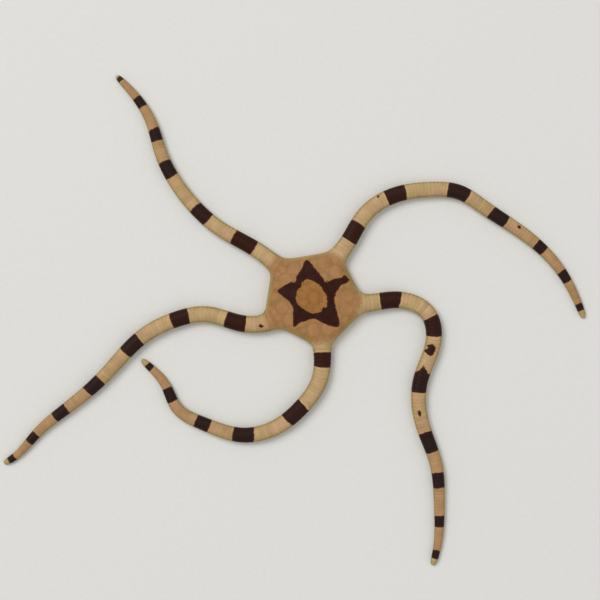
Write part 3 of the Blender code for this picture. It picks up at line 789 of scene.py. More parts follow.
def closed_grids(face: np.ndarray, root: np.ndarray, values: dict[str, np.ndarray]) -> Surface:
    """Make many closed plates from grids of points.

    Each plate is its grid, a skirt from the grid's border down to the root's border, and one face across the root.

    Args:
        face: The plates' outer points, by plate, row and column.
        root: The same points sunk in, of which only the border is used.
        values: What the materials read, by plate, row and column.

    Returns:
        The plates as one surface.
    """
    count, rows, columns = face.shape[:3]
    index = np.arange(rows * columns).reshape(rows, columns)
    border = np.concatenate([index[0, :-1], index[:-1, -1], index[-1, :0:-1], index[:0:-1, 0]])
    points = np.concatenate([face.reshape(count, -1, 3), root.reshape(count, -1, 3)[:, border]], axis=1)
    ring = rows * columns + np.arange(len(border))
    skirt = np.stack([border, ring, np.roll(ring, -1), np.roll(border, -1)], axis=-1)
    faces = outward(points, [np.concatenate([grid_quads(rows, columns), skirt]), ring[None, ::-1]])
    spread = {}
    for name, value in values.items():
        flat = np.broadcast_to(value, face.shape[:3]).reshape(count, -1)
        spread[name] = np.concatenate([flat, flat[:, border]], axis=1).ravel()
    return Surface(points.reshape(-1, 3), faces, spread)


def closed_rounds(pole: np.ndarray, rings: np.ndarray, root: np.ndarray, values: dict[str, np.ndarray]) -> Surface:
    """Make many closed forms from rings of points round a middle.

    Each form is a fan from its pole to the first ring, the rings out to its edge, a skirt down to the root's ring,
    and one face across the root.

    Args:
        pole: The forms' middles, by form.
        rings: Their rings, by form, ring and place round.
        root: The outermost ring sunk in, by form and place round.
        values: What the materials read, by form, ring and place round.

    Returns:
        The forms as one surface.
    """
    count, levels, around = rings.shape[:3]
    points = np.concatenate([pole[:, None], rings.reshape(count, -1, 3), root], axis=1)
    first = 1 + np.arange(around)
    last = 1 + levels * around + np.arange(around)
    fan = np.stack([np.zeros(around, int), np.roll(first, -1), first], axis=-1)
    faces = outward(points, [1 + grid_quads(levels + 1, around, wrap=True), fan, last[None]])
    spread = {}
    for name, value in values.items():
        full = np.broadcast_to(value, rings.shape[:3])
        spread[name] = np.concatenate([full[:, :1, 0], full.reshape(count, -1), full[:, -1]], axis=1).ravel()
    return Surface(points.reshape(-1, 3), faces, spread)


def power_reach(normals: np.ndarray, distances: np.ndarray, aheads: np.ndarray, power: float = 14.0) -> np.ndarray:
    """Return how far a rounded polygon reaches from its middle.

    For each direction it is the high power mean of the distances at which the polygon's sides cross it.

    Args:
        normals: The sides' unit normals, by polygon and side.
        distances: The sides' distances from the middle, by polygon and side.
        aheads: The directions.
        power: The higher, the sharper the corners.

    Returns:
        One distance for each polygon and direction.
    """
    pull = np.clip(np.einsum("pqk,ak->paq", normals, aheads), 0, None) / distances[:, None]
    return (pull**power).sum(-1) ** (-1 / power)


def linear(red: int, green: int, blue: int) -> Colour:
    """Return a colour given in screen values, out of 255, as the linear values that shaders take."""
    shares = np.array([red, green, blue]) / 255
    values = np.where(shares <= 0.04045, shares / 12.92, ((shares + 0.055) / 1.055) ** 2.4)
    return (*map(float, values), 1.0)


@dataclass
class NodeBoard:
    """Adds nodes to a tree and links them, so that a material reads as a short list of steps."""

    tree: bpy.types.NodeTree

    def add(self, kind: str, inputs: dict[str | int, object] | None = None, **settings: object) -> bpy.types.Node:
        """Add a node.

        Args:
            kind: The node's type name, without the part that all shader nodes share.
            inputs: A value or another node's output for each named or numbered input.
            **settings: The node's own properties.

        Returns:
            The node.
        """
        node = self.tree.nodes.new(kind if kind.startswith("NodeGroup") else f"ShaderNode{kind}")
        for name, value in settings.items():
            setattr(node, name, value)
        self.feed(node, inputs or {})
        return node

    def feed(self, node: bpy.types.Node, inputs: dict[str | int, object]) -> None:
        """Set a node's inputs to values, or link other nodes' outputs to them."""
        for name, value in inputs.items():
            if isinstance(value, bpy.types.NodeSocket):
                self.tree.links.new(value, node.inputs[name])
            else:
                node.inputs[name].default_value = value

    def math(self, operation: str, *values: object) -> bpy.types.NodeSocket:
        """Return the result of a Math node on values or outputs."""
        return self.add("Math", dict(enumerate(values)), operation=operation).outputs[0]

    def times(self, value: object, factor: object) -> bpy.types.NodeSocket:
        """Return a value multiplied by a factor."""
        return self.math("MULTIPLY", value, factor)

    def swing(self, value: object, factor: object) -> bpy.types.NodeSocket:
        """Return how far a value is from a half, multiplied by a factor."""
        return self.times(self.math("SUBTRACT", value, 0.5), factor)

    def ramp(self, value: object, start: object, end: object, low: float = 0.0,
             high: float = 1.0) -> bpy.types.NodeSocket:
        """Return a value eased from low to high as it goes from start to end."""
        inputs = {"Value": value, "From Min": start, "From Max": end, "To Min": low, "To Max": high}
        return self.add("MapRange", inputs, interpolation_type="SMOOTHSTEP").outputs["Result"]

    def blend(self, factor: object, one: object, other: object) -> bpy.types.NodeSocket:
        """Return one colour mixed towards the other by a factor."""
        inputs = {0: factor, 6: one, 7: other}
        return self.add("Mix", inputs, data_type="RGBA", clamp_factor=True).outputs[2]

    def read(self, name: str) -> bpy.types.NodeSocket:
        """Return one of the piece's own values."""
        return self.add("Attribute", attribute_name=name).outputs["Fac"]

    def place(self) -> bpy.types.NodeSocket:
        """Return the piece's own coordinates."""
        return self.add("TexCoord").outputs["Object"]

    def noise(self, place: object, scale: object, detail: float) -> bpy.types.NodeSocket:
        """Return noise in the piece's own coordinates."""
        return self.add("TexNoise", {"Vector": place, "Scale": scale, "Detail": detail}).outputs["Fac"]


def new_group(name: str, inputs: dict[str, float], outputs: tuple[str, ...]) -> tuple[
        NodeBoard, bpy.types.Node, bpy.types.Node]:
    """Start a shader node group whose inputs and outputs are all plain values.

    Args:
        name: The group's name.
        inputs: The first value of each input.
        outputs: The outputs' names.

    Returns:
        The group's board, its input node and its output node.
    """
    tree = bpy.data.node_groups.new(name, "ShaderNodeTree")
    for label, value in inputs.items():
        socket = tree.interface.new_socket(name=label, in_out="INPUT", socket_type="NodeSocketFloat")
        socket.default_value = value
    for label in outputs:
        tree.interface.new_socket(name=label, in_out="OUTPUT", socket_type="NodeSocketFloat")
    board = NodeBoard(tree)
    return board, board.add("NodeGroupInput"), board.add("NodeGroupOutput")


@dataclass
class Effects:
    """The shader node groups that the finishes share. Scales of noise are to the metre."""

    grain: float = 5200.0
    cloud: float = 420.0
    blotch: float = 240.0
    blotch_low: float = 0.35
    blotch_high: float = 0.65
    pit_cell: float = 0.6
    pit_noise: float = 0.5
    ragged: float = 0.6
    ragged_grain: float = 900.0
    softness: float = 0.08
    core_depth: float = 0.55

    def __post_init__(self) -> None:
        """Build each group once."""
        self.chalk = self._chalk()
        self.pattern = self._pattern()

    def _chalk(self) -> bpy.types.NodeTree:
        """Build the fine grain of chalky plates: a slow cloudiness, and a fine pitted height."""
        board, given, made = new_group(
            "chalk_grain",
            {"Grain": self.grain, "Cloud": self.cloud, "Blotch": self.blotch},
            ("Cloudiness", "Blotches", "Pits"),
        )
        place = board.place()
        grain = given.outputs["Grain"]
        cell = board.add("TexVoronoi", {"Vector": place, "Scale": grain}).outputs["Distance"]
        blotches = board.noise(place, given.outputs["Blotch"], 2.0)
        board.feed(made, {
            "Cloudiness": board.noise(place, given.outputs["Cloud"], 3.0),
            "Blotches": board.ramp(blotches, self.blotch_low, self.blotch_high),
            "Pits": board.math("ADD", board.times(cell, self.pit_cell),
                               board.times(board.noise(place, grain, 2.0), self.pit_noise)),
        })
        return board.tree

    def _pattern(self) -> bpy.types.NodeTree:
        """Build the dark pattern's mask, a depth inside it made ragged by noise and cut off sharply, and its core."""
        board, given, made = new_group(
            "dark_pattern",
            {"Depth": 0.0, "Ragged": self.ragged, "Softness": self.softness},
            ("Mask", "Core"),
        )
        shift = board.swing(board.noise(board.place(), self.ragged_grain, 4.0), given.outputs["Ragged"])
        depth = board.math("ADD", given.outputs["Depth"], shift)
        soft = given.outputs["Softness"]
        board.feed(made, {
            "Mask": board.ramp(depth, board.times(soft, -1.0), soft),
            "Core": board.ramp(depth, 0.0, self.core_depth),
        })
        return board.tree


@dataclass(frozen=True)
class Ease:
    """Where along a value a colour begins to come in and where it is all there, and how much of it comes."""

    start: float
    end: float
    most: float = 1.0


@dataclass(frozen=True)
class ShellFinish:
    """The finish of chalky plates, skin or spines, pale with a dark pattern.

    The pale colour goes over to the edge colour at the sides, to the tip colour along the arms, to the lobe colour
    over the arms' roots and to the heart colour in the middle of the back. The dark one goes over to its own side
    and tip colours; the greyer side colour is partly the side plates' own tone and partly painted sheen. Large
    blotches bring in the blush and lobe colours, and leave the moss colours between them. In grooves, by the groove
    value, the colour goes over to the groove colour, which is painted shade.
    """

    name: str
    pale: Colour = linear(193, 160, 119)
    edge: Colour = linear(180, 166, 110)
    tip: Colour = linear(175, 135, 95)
    disc: Colour = linear(171, 127, 80)
    disc_moss: Colour = linear(156, 122, 72)
    lobe: Colour = linear(173, 125, 86)
    heart: Colour = linear(161, 112, 60)
    dark: Colour = linear(53, 23, 15)
    dark_tip: Colour = linear(41, 25, 22)
    # Greyer dark colour at the arm's sides: partly the side plates' own tone, partly painted sheen.
    dark_edge_and_sheen: Colour = linear(58, 47, 38)
    dark_rim: Colour = linear(74, 32, 24)
    blush: Colour = linear(198, 154, 122)
    moss: Colour = linear(184, 166, 108)
    # Painted shade: the darker colour laid into the grooves between plates and on the skin that shows between them.
    groove: Colour = linear(126, 90, 54)
    blush_share: float = 0.3
    moss_share: float = 0.35
    disc_moss_share: float = 0.6
    lobe_least: float = 0.6
    tip_ease: Ease = Ease(0.25, 0.95)
    heart_ease: Ease = Ease(-0.4, 0.3)
    edge_ease: Ease = Ease(0.35, 1.0, 0.75)
    dark_tip_ease: Ease = Ease(0.1, 0.6)
    # Where the partly painted sheen comes in on the dark pattern, by the side value.
    dark_edge_and_sheen_ease: Ease = Ease(0.6, 1.05, 0.8)
    cloud_light: float = 0.5
    tint_light: float = 0.06
    # How strongly the painted groove shade comes in where the groove value is 1.
    groove_shade_strength: float = 0.3
    roughness: float = 0.5
    cloud_roughness: float = 0.25
    bump: float = 0.25
    bump_height: float = 4e-5
    shine: float = 0.1

    def material(self, effects: Effects) -> bpy.types.Material:
        """Build the material.

        Args:
            effects: The shared node groups.

        Returns:
            The material.
        """
        material = bpy.data.materials.new(self.name)
        material.use_nodes = True
        board = NodeBoard(material.node_tree)
        chalk = board.add("Group", node_tree=effects.chalk).outputs
        tipward, side, patch = board.read("tipward"), board.read("side"), board.read("patch")
        depth = board.math("MINIMUM", board.read("marking"), board.times(patch, -1.0))
        pattern = board.add("Group", {"Depth": depth}, node_tree=effects.pattern).outputs

        def ease(value: bpy.types.NodeSocket, over: Ease) -> bpy.types.NodeSocket:
            """Return how much of a colour has come in."""
            return board.times(board.ramp(value, over.start, over.end), over.most)

        colour = board.blend(board.times(chalk["Blotches"], self.blush_share), self.pale, self.blush)
        mossy = board.times(board.math("SUBTRACT", 1.0, chalk["Blotches"]), self.moss_share)
        colour = board.blend(mossy, colour, self.moss)
        colour = board.blend(ease(tipward, self.tip_ease), colour, self.tip)
        disc = board.blend(board.times(chalk["Blotches"], self.disc_moss_share), self.disc, self.disc_moss)
        colour = board.blend(board.read("disc"), colour, disc)
        lobe = board.times(board.read("lobe"), board.ramp(chalk["Blotches"], 0.0, 1.0, 1.0, self.lobe_least))
        colour = board.blend(lobe, colour, self.lobe)
        colour = board.blend(ease(patch, self.heart_ease), colour, self.heart)
        colour = board.blend(ease(side, self.edge_ease), colour, self.edge)
        light = board.math("ADD", board.swing(chalk["Cloudiness"], self.cloud_light),
                           board.times(board.read("tint"), self.tint_light))
        colour = board.add("HueSaturation", {"Value": board.math("ADD", light, 1.0), "Color": colour}).outputs[0]
        # Painted shade: where the groove value is high, the colour goes over to the darker groove colour.
        colour = board.blend(board.times(board.read("groove"), self.groove_shade_strength), colour, self.groove)
        dark = board.blend(ease(tipward, self.dark_tip_ease), self.dark, self.dark_tip)
        dark = board.blend(pattern["Core"], self.dark_rim, dark)
        # Partly painted sheen: the dark pattern goes greyer towards the arm's sides.
        dark = board.blend(ease(side, self.dark_edge_and_sheen_ease), dark, self.dark_edge_and_sheen)
        bump = {"Height": chalk["Pits"], "Strength": self.bump, "Distance": self.bump_height}
        board.feed(material.node_tree.nodes["Principled BSDF"], {
            "Base Color": board.blend(pattern["Mask"], colour, dark),
            "Roughness": board.math("ADD", board.swing(chalk["Cloudiness"], self.cloud_roughness), self.roughness),
            "Normal": board.add("Bump", bump).outputs["Normal"],
            "Specular IOR Level": self.shine,
        })
        return material


@dataclass
class Skin:
    """The one skin under all the plates: over the disc, out along the five arms, and closed at their tips.

    The mouth's profile gives, for each ring of its cutter, a share of its radius and a height.
    """

    body: BodyPlan
    markings: Markings
    material: bpy.types.Material
    column_points: int = 24
    depth: float = 0.1
    veins: int = 26
    squares: int = 22
    inset_power: int = 3
    first_vein: float = 1.0
    last_vein: float = 0.6
    root_span: float = 2.55
    root_height: float = 0.955
    same_place: float = 0.02
    # How much painted groove shade the skin of the disc takes where it shows between the plates.
    disc_groove_shade: float = 0.25
    ring_step: float = 0.3
    last_ring: float = 0.08
    mouth_radius: float = 4.7
    mouth_profile: tuple[tuple[float, float], ...] = (
        (1.03, -1.0), (1.03, 0.2), (1.0, 0.5), (0.98, 1.9), (0.9, 2.2),
    )
    mouth_points: int = 64
    slit_start: float = -6.9
    slit_length: float = 4.4
    slit_aside: float = 2.75
    slit_bow: float = 0.35
    slit_half: float = 0.16
    slit_end: float = 0.96
    slit_points: int = 12
    slit_heights: tuple[float, float] = (-1.0, 0.9)
    nowhere: float = -99.0

    def build(self) -> bpy.types.Object:
        """Build the skin as one closed mesh and cut the mouth's recess and the slits beside the arms' roots."""
        skin = self._surface().object("skin", self.material)
        self._cut(skin, self._cutters())
        return skin

    def _columns(self) -> tuple[np.ndarray, np.ndarray, np.ndarray, np.ndarray]:
        """Lay the lines that carry the disc's surface, in order round it.

        A line runs from an arm's midline, or from the middle of the disc, to the edge. The slanted lines fan out
        between two arms, and the square ones cross an arm's root.

        Returns:
            The lines' inner points, their outer points, the number of each one's inner point, and each one's place
            along an arm, or far below zero where it crosses none.
        """
        body = self.body
        square = np.linspace(body.blend_start, 0.0, self.squares)
        roots = np.array([line.place(body.blend_start) for line in body.lines.values()])
        turns = np.unwrap(np.arctan2(roots[:, 1], roots[:, 0]))
        gaps = (turns + np.concatenate([[turns[-1] - 2 * math.pi], turns[:-1]])) / 2
        gaps = np.concatenate([gaps, [gaps[0] + 2 * math.pi]])
        reach = np.linspace(self.first_vein, ROOT_REACH + body.blend_start - self.last_vein, self.veins)
        inner, outer, key, along = [], [], [], []
        for i, (name, line) in enumerate(body.lines.items()):
            first = 1 + i * (self.veins + self.squares)
            middle = line.place(square)
            halves = []
            for side, gap in ((Side.RIGHT, gaps[i]), (Side.LEFT, gaps[i + 1])):
                half = body.half_width(name, square, side.value)
                edge = middle + line.aside(square) * side.value * half[:, None]
                last = math.atan2(edge[0, 1], edge[0, 0])
                last += 2 * math.pi * round((turns[i] - last) / (2 * math.pi))
                rim = body.rim(towards(gap + (last - gap) * np.arange(1, self.veins + 1) / (self.veins + 1)))
                halves.append((
                    np.concatenate([line.skeleton(reach), middle]),
                    np.concatenate([rim, edge]),
                    first + np.arange(self.veins + self.squares),
                    np.concatenate([np.full(self.veins, self.nowhere), square]),
                ))
            between = (np.zeros((1, 2)), body.rim(towards(gaps[i + 1 : i + 2])), np.zeros(1, int), [self.nowhere])
            for store, right, left, last_one in zip((inner, outer, key, along), *halves, between):
                store += [right, left[::-1], last_one]
        return np.concatenate(inner), np.concatenate(outer), np.concatenate(key), np.concatenate(along)

    def _disc(self, share: np.ndarray) -> tuple[np.ndarray, np.ndarray, np.ndarray]:
        """Carry a column of points along every line of the disc.

        A column goes from the line's inner point over the back to the edge and below to the inner point again.

        Args:
            share: Shares of the way down a column.

        Returns:
            Points by line and place in the column, the number of each, which lines that meet share, and whether each
            line has the same inner point as the next.
        """
        body = self.body
        inner, outer, key, along = self._columns()
        across, up = body.section_share(share)
        span = np.linalg.norm(outer - inner, axis=1)[:, None]
        inset = np.minimum(self.root_span, span) * (1 - across)
        inset = inset + np.maximum(span - self.root_span, 0) * (1 - across) ** self.inset_power
        plan = outer[:, None] + (inner - outer)[:, None] * (inset / span)[..., None]
        height = np.where(share <= body.side_share, body.top(plan[..., 0], plan[..., 1]), body.under(inset))
        tall = np.zeros((len(along), 1))
        for line in body.lines.values():
            own = np.linalg.norm(line.place(along) - inner, axis=1) < self.same_place
            tall[own, 0] = line.width(along[own]) * line.height_share
        weight = body.blend(along)[:, None]
        height = height * (1 - weight) + np.maximum(up * tall * self.root_height, self.depth) * weight
        number = np.arange(plan[..., 0].size).reshape(plan.shape[:2])
        _, first, owner = np.unique(key, return_index=True, return_inverse=True)
        for end in (0, -1):
            number[:, end] = number[first[owner], end]
        return raised(plan, height), number, (key == np.roll(key, -1)) & (key != 0)

    def _surface(self) -> Surface:
        """Join the disc's columns, and lay rings of points along every arm.

        The two columns at an arm's seam make up the ring that the arm's rings go on from.

        Returns:
            The closed surface.
        """
        body = self.body
        share = np.linspace(0.0, 1.0, self.column_points)
        loop = np.concatenate([share, -share[-2:0:-1]])
        points, number, seam = self._disc(share)
        after = np.roll(number, -1, axis=0)
        near, far = number[~seam], after[~seam]
        faces = [np.stack([near[:, :-1], near[:, 1:], far[:, 1:], far[:, :-1]], axis=-1).reshape(-1, 4)]
        pieces = [points.reshape(-1, 3)]
        # The disc's skin takes some painted groove shade.
        values = [self.markings.disc_values(pieces[0], self.disc_groove_shade)]
        caps = []
        total = len(pieces[0])
        for (name, line), start in zip(body.lines.items(), np.flatnonzero(seam)):
            s = np.linspace(self.ring_step, line.length - self.last_ring, int(line.length / self.ring_step))
            arm = body.shell(name, s[:, None], loop, -self.depth)
            arm[..., 2] = np.maximum(arm[..., 2], self.depth * line.scale(s)[:, None])
            numbers = total + np.arange(len(s) * len(loop)).reshape(len(s), len(loop))
            total = int(numbers[-1, -1]) + 2
            numbers = np.concatenate([[np.concatenate([number[start], after[start][-2:0:-1]])], numbers])
            turned = np.roll(numbers, -1, axis=1)
            faces.append(np.stack([numbers[:-1], numbers[1:], turned[1:], turned[:-1]], axis=-1).reshape(-1, 4))
            caps.append(np.stack([numbers[-1], np.full(len(loop), total - 1), turned[-1]], axis=-1))
            pole = raised(line.place(np.array([line.length - self.last_ring / 2])), arm[-1, :, 2].mean())
            pieces += [arm.reshape(-1, 3), pole]
            for places, shares in ((s, loop), (s[-1:], np.zeros(1))):
                # All of the arms' skin counts as groove: painted shade where it shows between the plates.
                made = self.markings.arm_values(name, places[:, None], shares, 1.0)
                values.append({key: value.ravel() for key, value in made.items()})
        quads = np.concatenate(faces)
        merged, tight = quads[:, 0] == quads[:, 3], quads[:, 1] == quads[:, 2]
        whole = quads[~(merged | tight)]
        triangles = np.concatenate([quads[merged][:, :3], quads[tight][:, [0, 1, 3]], *caps])
        used, renumbered = np.unique(np.concatenate([whole.ravel(), triangles.ravel()]), return_inverse=True)
        faces = [renumbered[: whole.size].reshape(-1, 4), renumbered[whole.size :].reshape(-1, 3)]
        joined = {name: np.concatenate([value[name] for value in values])[used] for name in values[0]}
        return Surface(np.concatenate(pieces)[used], faces, joined)

    def _cutters(self) -> list[bpy.types.Object]:
        """Make a round cutter for the mouth, and a thin one for the slit on each side of every arm's root."""
        ring = circle(self.mouth_points) * self.mouth_radius
        rings = [raised(ring * share, height) for share, height in self.mouth_profile]
        cutters = [self._plug(np.stack(rings))]
        s = np.linspace(self.slit_start, self.slit_start + self.slit_length, self.slit_points)
        bend = self.slit_aside + self.slit_bow * np.sin((s - self.slit_start) / self.slit_length * math.pi)
        half = self.slit_half * np.sqrt(1 - np.linspace(-self.slit_end, self.slit_end, self.slit_points) ** 2)
        for line in self.body.lines.values():
            for side in Side:
                aside = line.aside(s)
                middle = line.place(s) + aside * side.value * bend[:, None]
                outline = np.concatenate([middle - aside * half[:, None], (middle + aside * half[:, None])[::-1]])
                outline = outline[:: side.value]
                cutters.append(self._plug(np.stack([raised(outline, height) for height in self.slit_heights])))
        return cutters

    @staticmethod
    def _plug(rings: np.ndarray) -> bpy.types.Object:
        """Return a closed column through rings of points."""
        levels, around = rings.shape[:2]
        points = np.concatenate([rings.reshape(-1, 3), rings[[0, -1]].mean(axis=1)])
        low, high = np.arange(around), (levels - 1) * around + np.arange(around)
        fans = np.concatenate([
            np.stack([np.roll(low, -1), low, np.full(around, levels * around)], axis=-1),
            np.stack([high, np.roll(high, -1), np.full(around, levels * around + 1)], axis=-1),
        ])
        return Surface(points, outward(points[None], [grid_quads(levels, around, wrap=True), fans])).object("cutter")

    @staticmethod
    def _cut(base: bpy.types.Object, cutters: list[bpy.types.Object]) -> None:
        """Cut all the cutters out of the base in one Boolean, apply it and remove them."""
        group = bpy.data.collections.new("cutters")
        bpy.context.scene.collection.children.link(group)
        for cutter in cutters:
            bpy.context.scene.collection.objects.unlink(cutter)
            group.objects.link(cutter)
        change = base.modifiers.new("cut", "BOOLEAN")
        change.operand_type = "COLLECTION"
        change.collection = group
        change.operation = "DIFFERENCE"
        change.solver = "MANIFOLD"
        bpy.context.view_layer.update()
        whole = bpy.data.meshes.new_from_object(base.evaluated_get(bpy.context.evaluated_depsgraph_get()))
        base.modifiers.clear()
        base.data = whole
        for cutter in cutters:
            bpy.data.objects.remove(cutter)
        bpy.data.collections.remove(group)


@dataclass(frozen=True)
class PlateRow:
    """One row of plates along an arm.

    Places and spans round the arm are shares of the way from the ridge to the middle of the underside. Lengths are
    shares of a joint's. The lines are where the plate's grid has its rows along the arm and its columns round it,
    from -1 to 1.
    """

    middle: float
    span: float
    flare: float
    bow: float
    overlap: float
    along: tuple[float, ...] = (-1.0, -0.85, 0.0, 0.85, 1.0)
    around: tuple[float, ...] = (-1.0, -0.86, 0.0, 0.86, 1.0)
    tilt: float = 0.07
    bevel: float = 0.05


# The row of plates on an arm's right side. The left one is its mirror image.
SIDE_ROW = PlateRow(0.6, 0.245, 0.0, 0.1, 0.1, around=(-1.0, -0.9, -0.3, 0.3, 0.9, 1.0))


@dataclass
class Joints:
    """Where an arm's joints begin and end, with a joint's end at every end of a dark band.

    A joint is pitch long where the arm is full, and grows shorter with the arm's width, down to pitch_least of that.
    """

    line: Midline
    start: float = -1.7
    pitch: float = 1.08
    pitch_least: float = 0.45
    tip_gap: float = 0.12

    def __post_init__(self) -> None:
        """Divide each stretch between two band ends evenly into the number of joints that fits best."""
        bands = [end for band in self.line.plan.bands for end in (band.start, band.end)]
        anchors = np.array([self.start, *bands, self.line.length - self.tip_gap])
        ends = [anchors[:1]]
        for near, far in zip(anchors[:-1], anchors[1:]):
            scale = float(self.line.scale((near + far) / 2))
            mean = self.pitch * (self.pitch_least + (1 - self.pitch_least) * scale)
            ends.append(np.linspace(near, far, max(1, round((far - near) / mean)) + 1)[1:])
        ends = np.concatenate(ends)
        self.near = ends[:-1]
        self.length = np.diff(ends)


@dataclass
class Clothing:
    """A piece that lies on the skin, made of many small closed forms."""

    body: BodyPlan
    markings: Markings
    material: bpy.types.Material
    random: np.random.Generator

    def shades(self, spread: float, shape: tuple[int, ...]) -> np.ndarray:
        """Return a shade of its own for each form, for every point of it, by form and point."""
        return np.broadcast_to(self.random.normal(0, spread, (shape[0], 1, 1)), shape)


@dataclass
class ArmPlates(Clothing):
    """The plates that clothe one arm: one above, one on each side and one below at every joint, and pore scales.

    The jitters are how far a plate moves at random along the arm, round it and outwards. The flaps are the pore
    scales, whose lifts are those of the middle, the inner ring, the edge and the root.
    """

    name: str
    root: float = -0.3
    floor_gap: float = 0.02
    rounding: float = 0.35
    tip_gap: float = 0.06
    jitters: tuple[float, float, float] = (0.01, 0.003, 0.004)
    shade: float = 0.6
    shade_most: float = 1.5
    flap_place: float = 0.72
    flap_share: float = 0.815
    flap_half: tuple[float, float] = (0.3, 0.035)
    flap_around: int = 8
    flap_rings: tuple[float, float] = (0.6, 1.0)
    flap_lifts: tuple[float, float, float, float] = (0.06, 0.05, -0.01, -0.2)
    flap_first: int = 2
    flap_last: int = -3
    rows: tuple[PlateRow, ...] = (
        PlateRow(0.0, 0.345, 0.06, 0.28, 0.14, around=(-1.0, -0.93, -0.65, -0.33, 0.0, 0.33, 0.65, 0.93, 1.0)),
        SIDE_ROW,
        replace(SIDE_ROW, middle=-SIDE_ROW.middle),
        PlateRow(1.0, 0.145, -0.1, 0.12, 0.04),
    )

    def build(self) -> bpy.types.Object:
        """Build the arm's plates as one mesh of closed plates."""
        joints = Joints(self.body.lines[self.name])
        surfaces = [self._row(row, joints) for row in self.rows]
        surfaces += [self._flaps(side, joints) for side in Side]
        return Surface.join(surfaces).object(f"arm_{self.name}_plates", self.material)

    def _flaps(self, side: Side, joints: Joints) -> Surface:
        """Lay the small oval scale that covers a pore beside every under plate, on one side of the arm.

        Args:
            side: The side.
            joints: The arm's joints.

        Returns:
            The scales.
        """
        round_it = circle(self.flap_around)
        out = np.array(self.flap_rings)[:, None]
        joint = slice(self.flap_first, self.flap_last)
        middle = (joints.near + joints.length * self.flap_place)[joint]
        length = joints.length[joint, None, None]
        top, inner, edge, deep = self.flap_lifts
        s = middle[:, None, None] + length * self.flap_half[0] * out * round_it[:, 0]
        share = side.value * (self.flap_share + self.flap_half[1] * out * round_it[:, 1])
        rings = self.body.shell(self.name, s, share, np.array([inner, edge])[:, None])
        pole = self.body.shell(self.name, middle, self.flap_share * side.value, top)
        root = self.body.shell(self.name, s[:, -1], share[-1], deep)
        return closed_rounds(pole, rings, root, self.markings.arm_values(self.name, s, share, 0.0))

    def _row(self, row: PlateRow, joints: Joints) -> Surface:
        """Lay one plate of a row on every joint.

        A plate is a square grid with its corners drawn in, stretched along the joint and round the arm. It bows
        towards the tip, flares, rises from its near edge to its far one, and is bevelled all round.

        Args:
            row: The row.
            joints: The arm's joints.

        Returns:
            The row's plates.
        """
        u, v = np.meshgrid(row.along, row.around, indexing="ij")
        border = (np.abs(u) == 1.0) | (np.abs(v) == 1.0)
        on = u * np.sqrt(1 - self.rounding * v**2 / 2)
        out = v * np.sqrt(1 - self.rounding * u**2 / 2)
        jitter = self.random.normal(0.0, 1.0, (3, len(joints.near), 1, 1))
        ahead, around, up = (size * part for size, part in zip(self.jitters, jitter))
        length = joints.length[:, None, None]
        middle = joints.near[:, None, None] + length / 2
        s = middle + (1 + row.overlap) / 2 * length * on + row.bow * length * (1 - out**2) + ahead
        s = np.minimum(s, joints.line.length - self.tip_gap)
        share = row.middle + row.span * out * (1 + row.flare * on) + around
        share = np.where(share > 1.0, share - 2.0, share)
        rise = row.tilt * (on - 1) / 2 - row.bevel * border + up
        face = self.body.shell(self.name, s, share, rise)
        root = self.body.shell(self.name, s, share, self.root)
        if row.middle == 1.0:
            face[..., 2] = (self.floor_gap - rise) * joints.line.scale(s)
        # Each plate's border counts as groove: painted shade round its edge.
        values = self.markings.arm_values(self.name, s, share, border.astype(float))
        values["tint"] = np.broadcast_to(np.clip(jitter[0] * self.shade, -self.shade_most, self.shade_most), s.shape)
        return closed_grids(face, root, values)


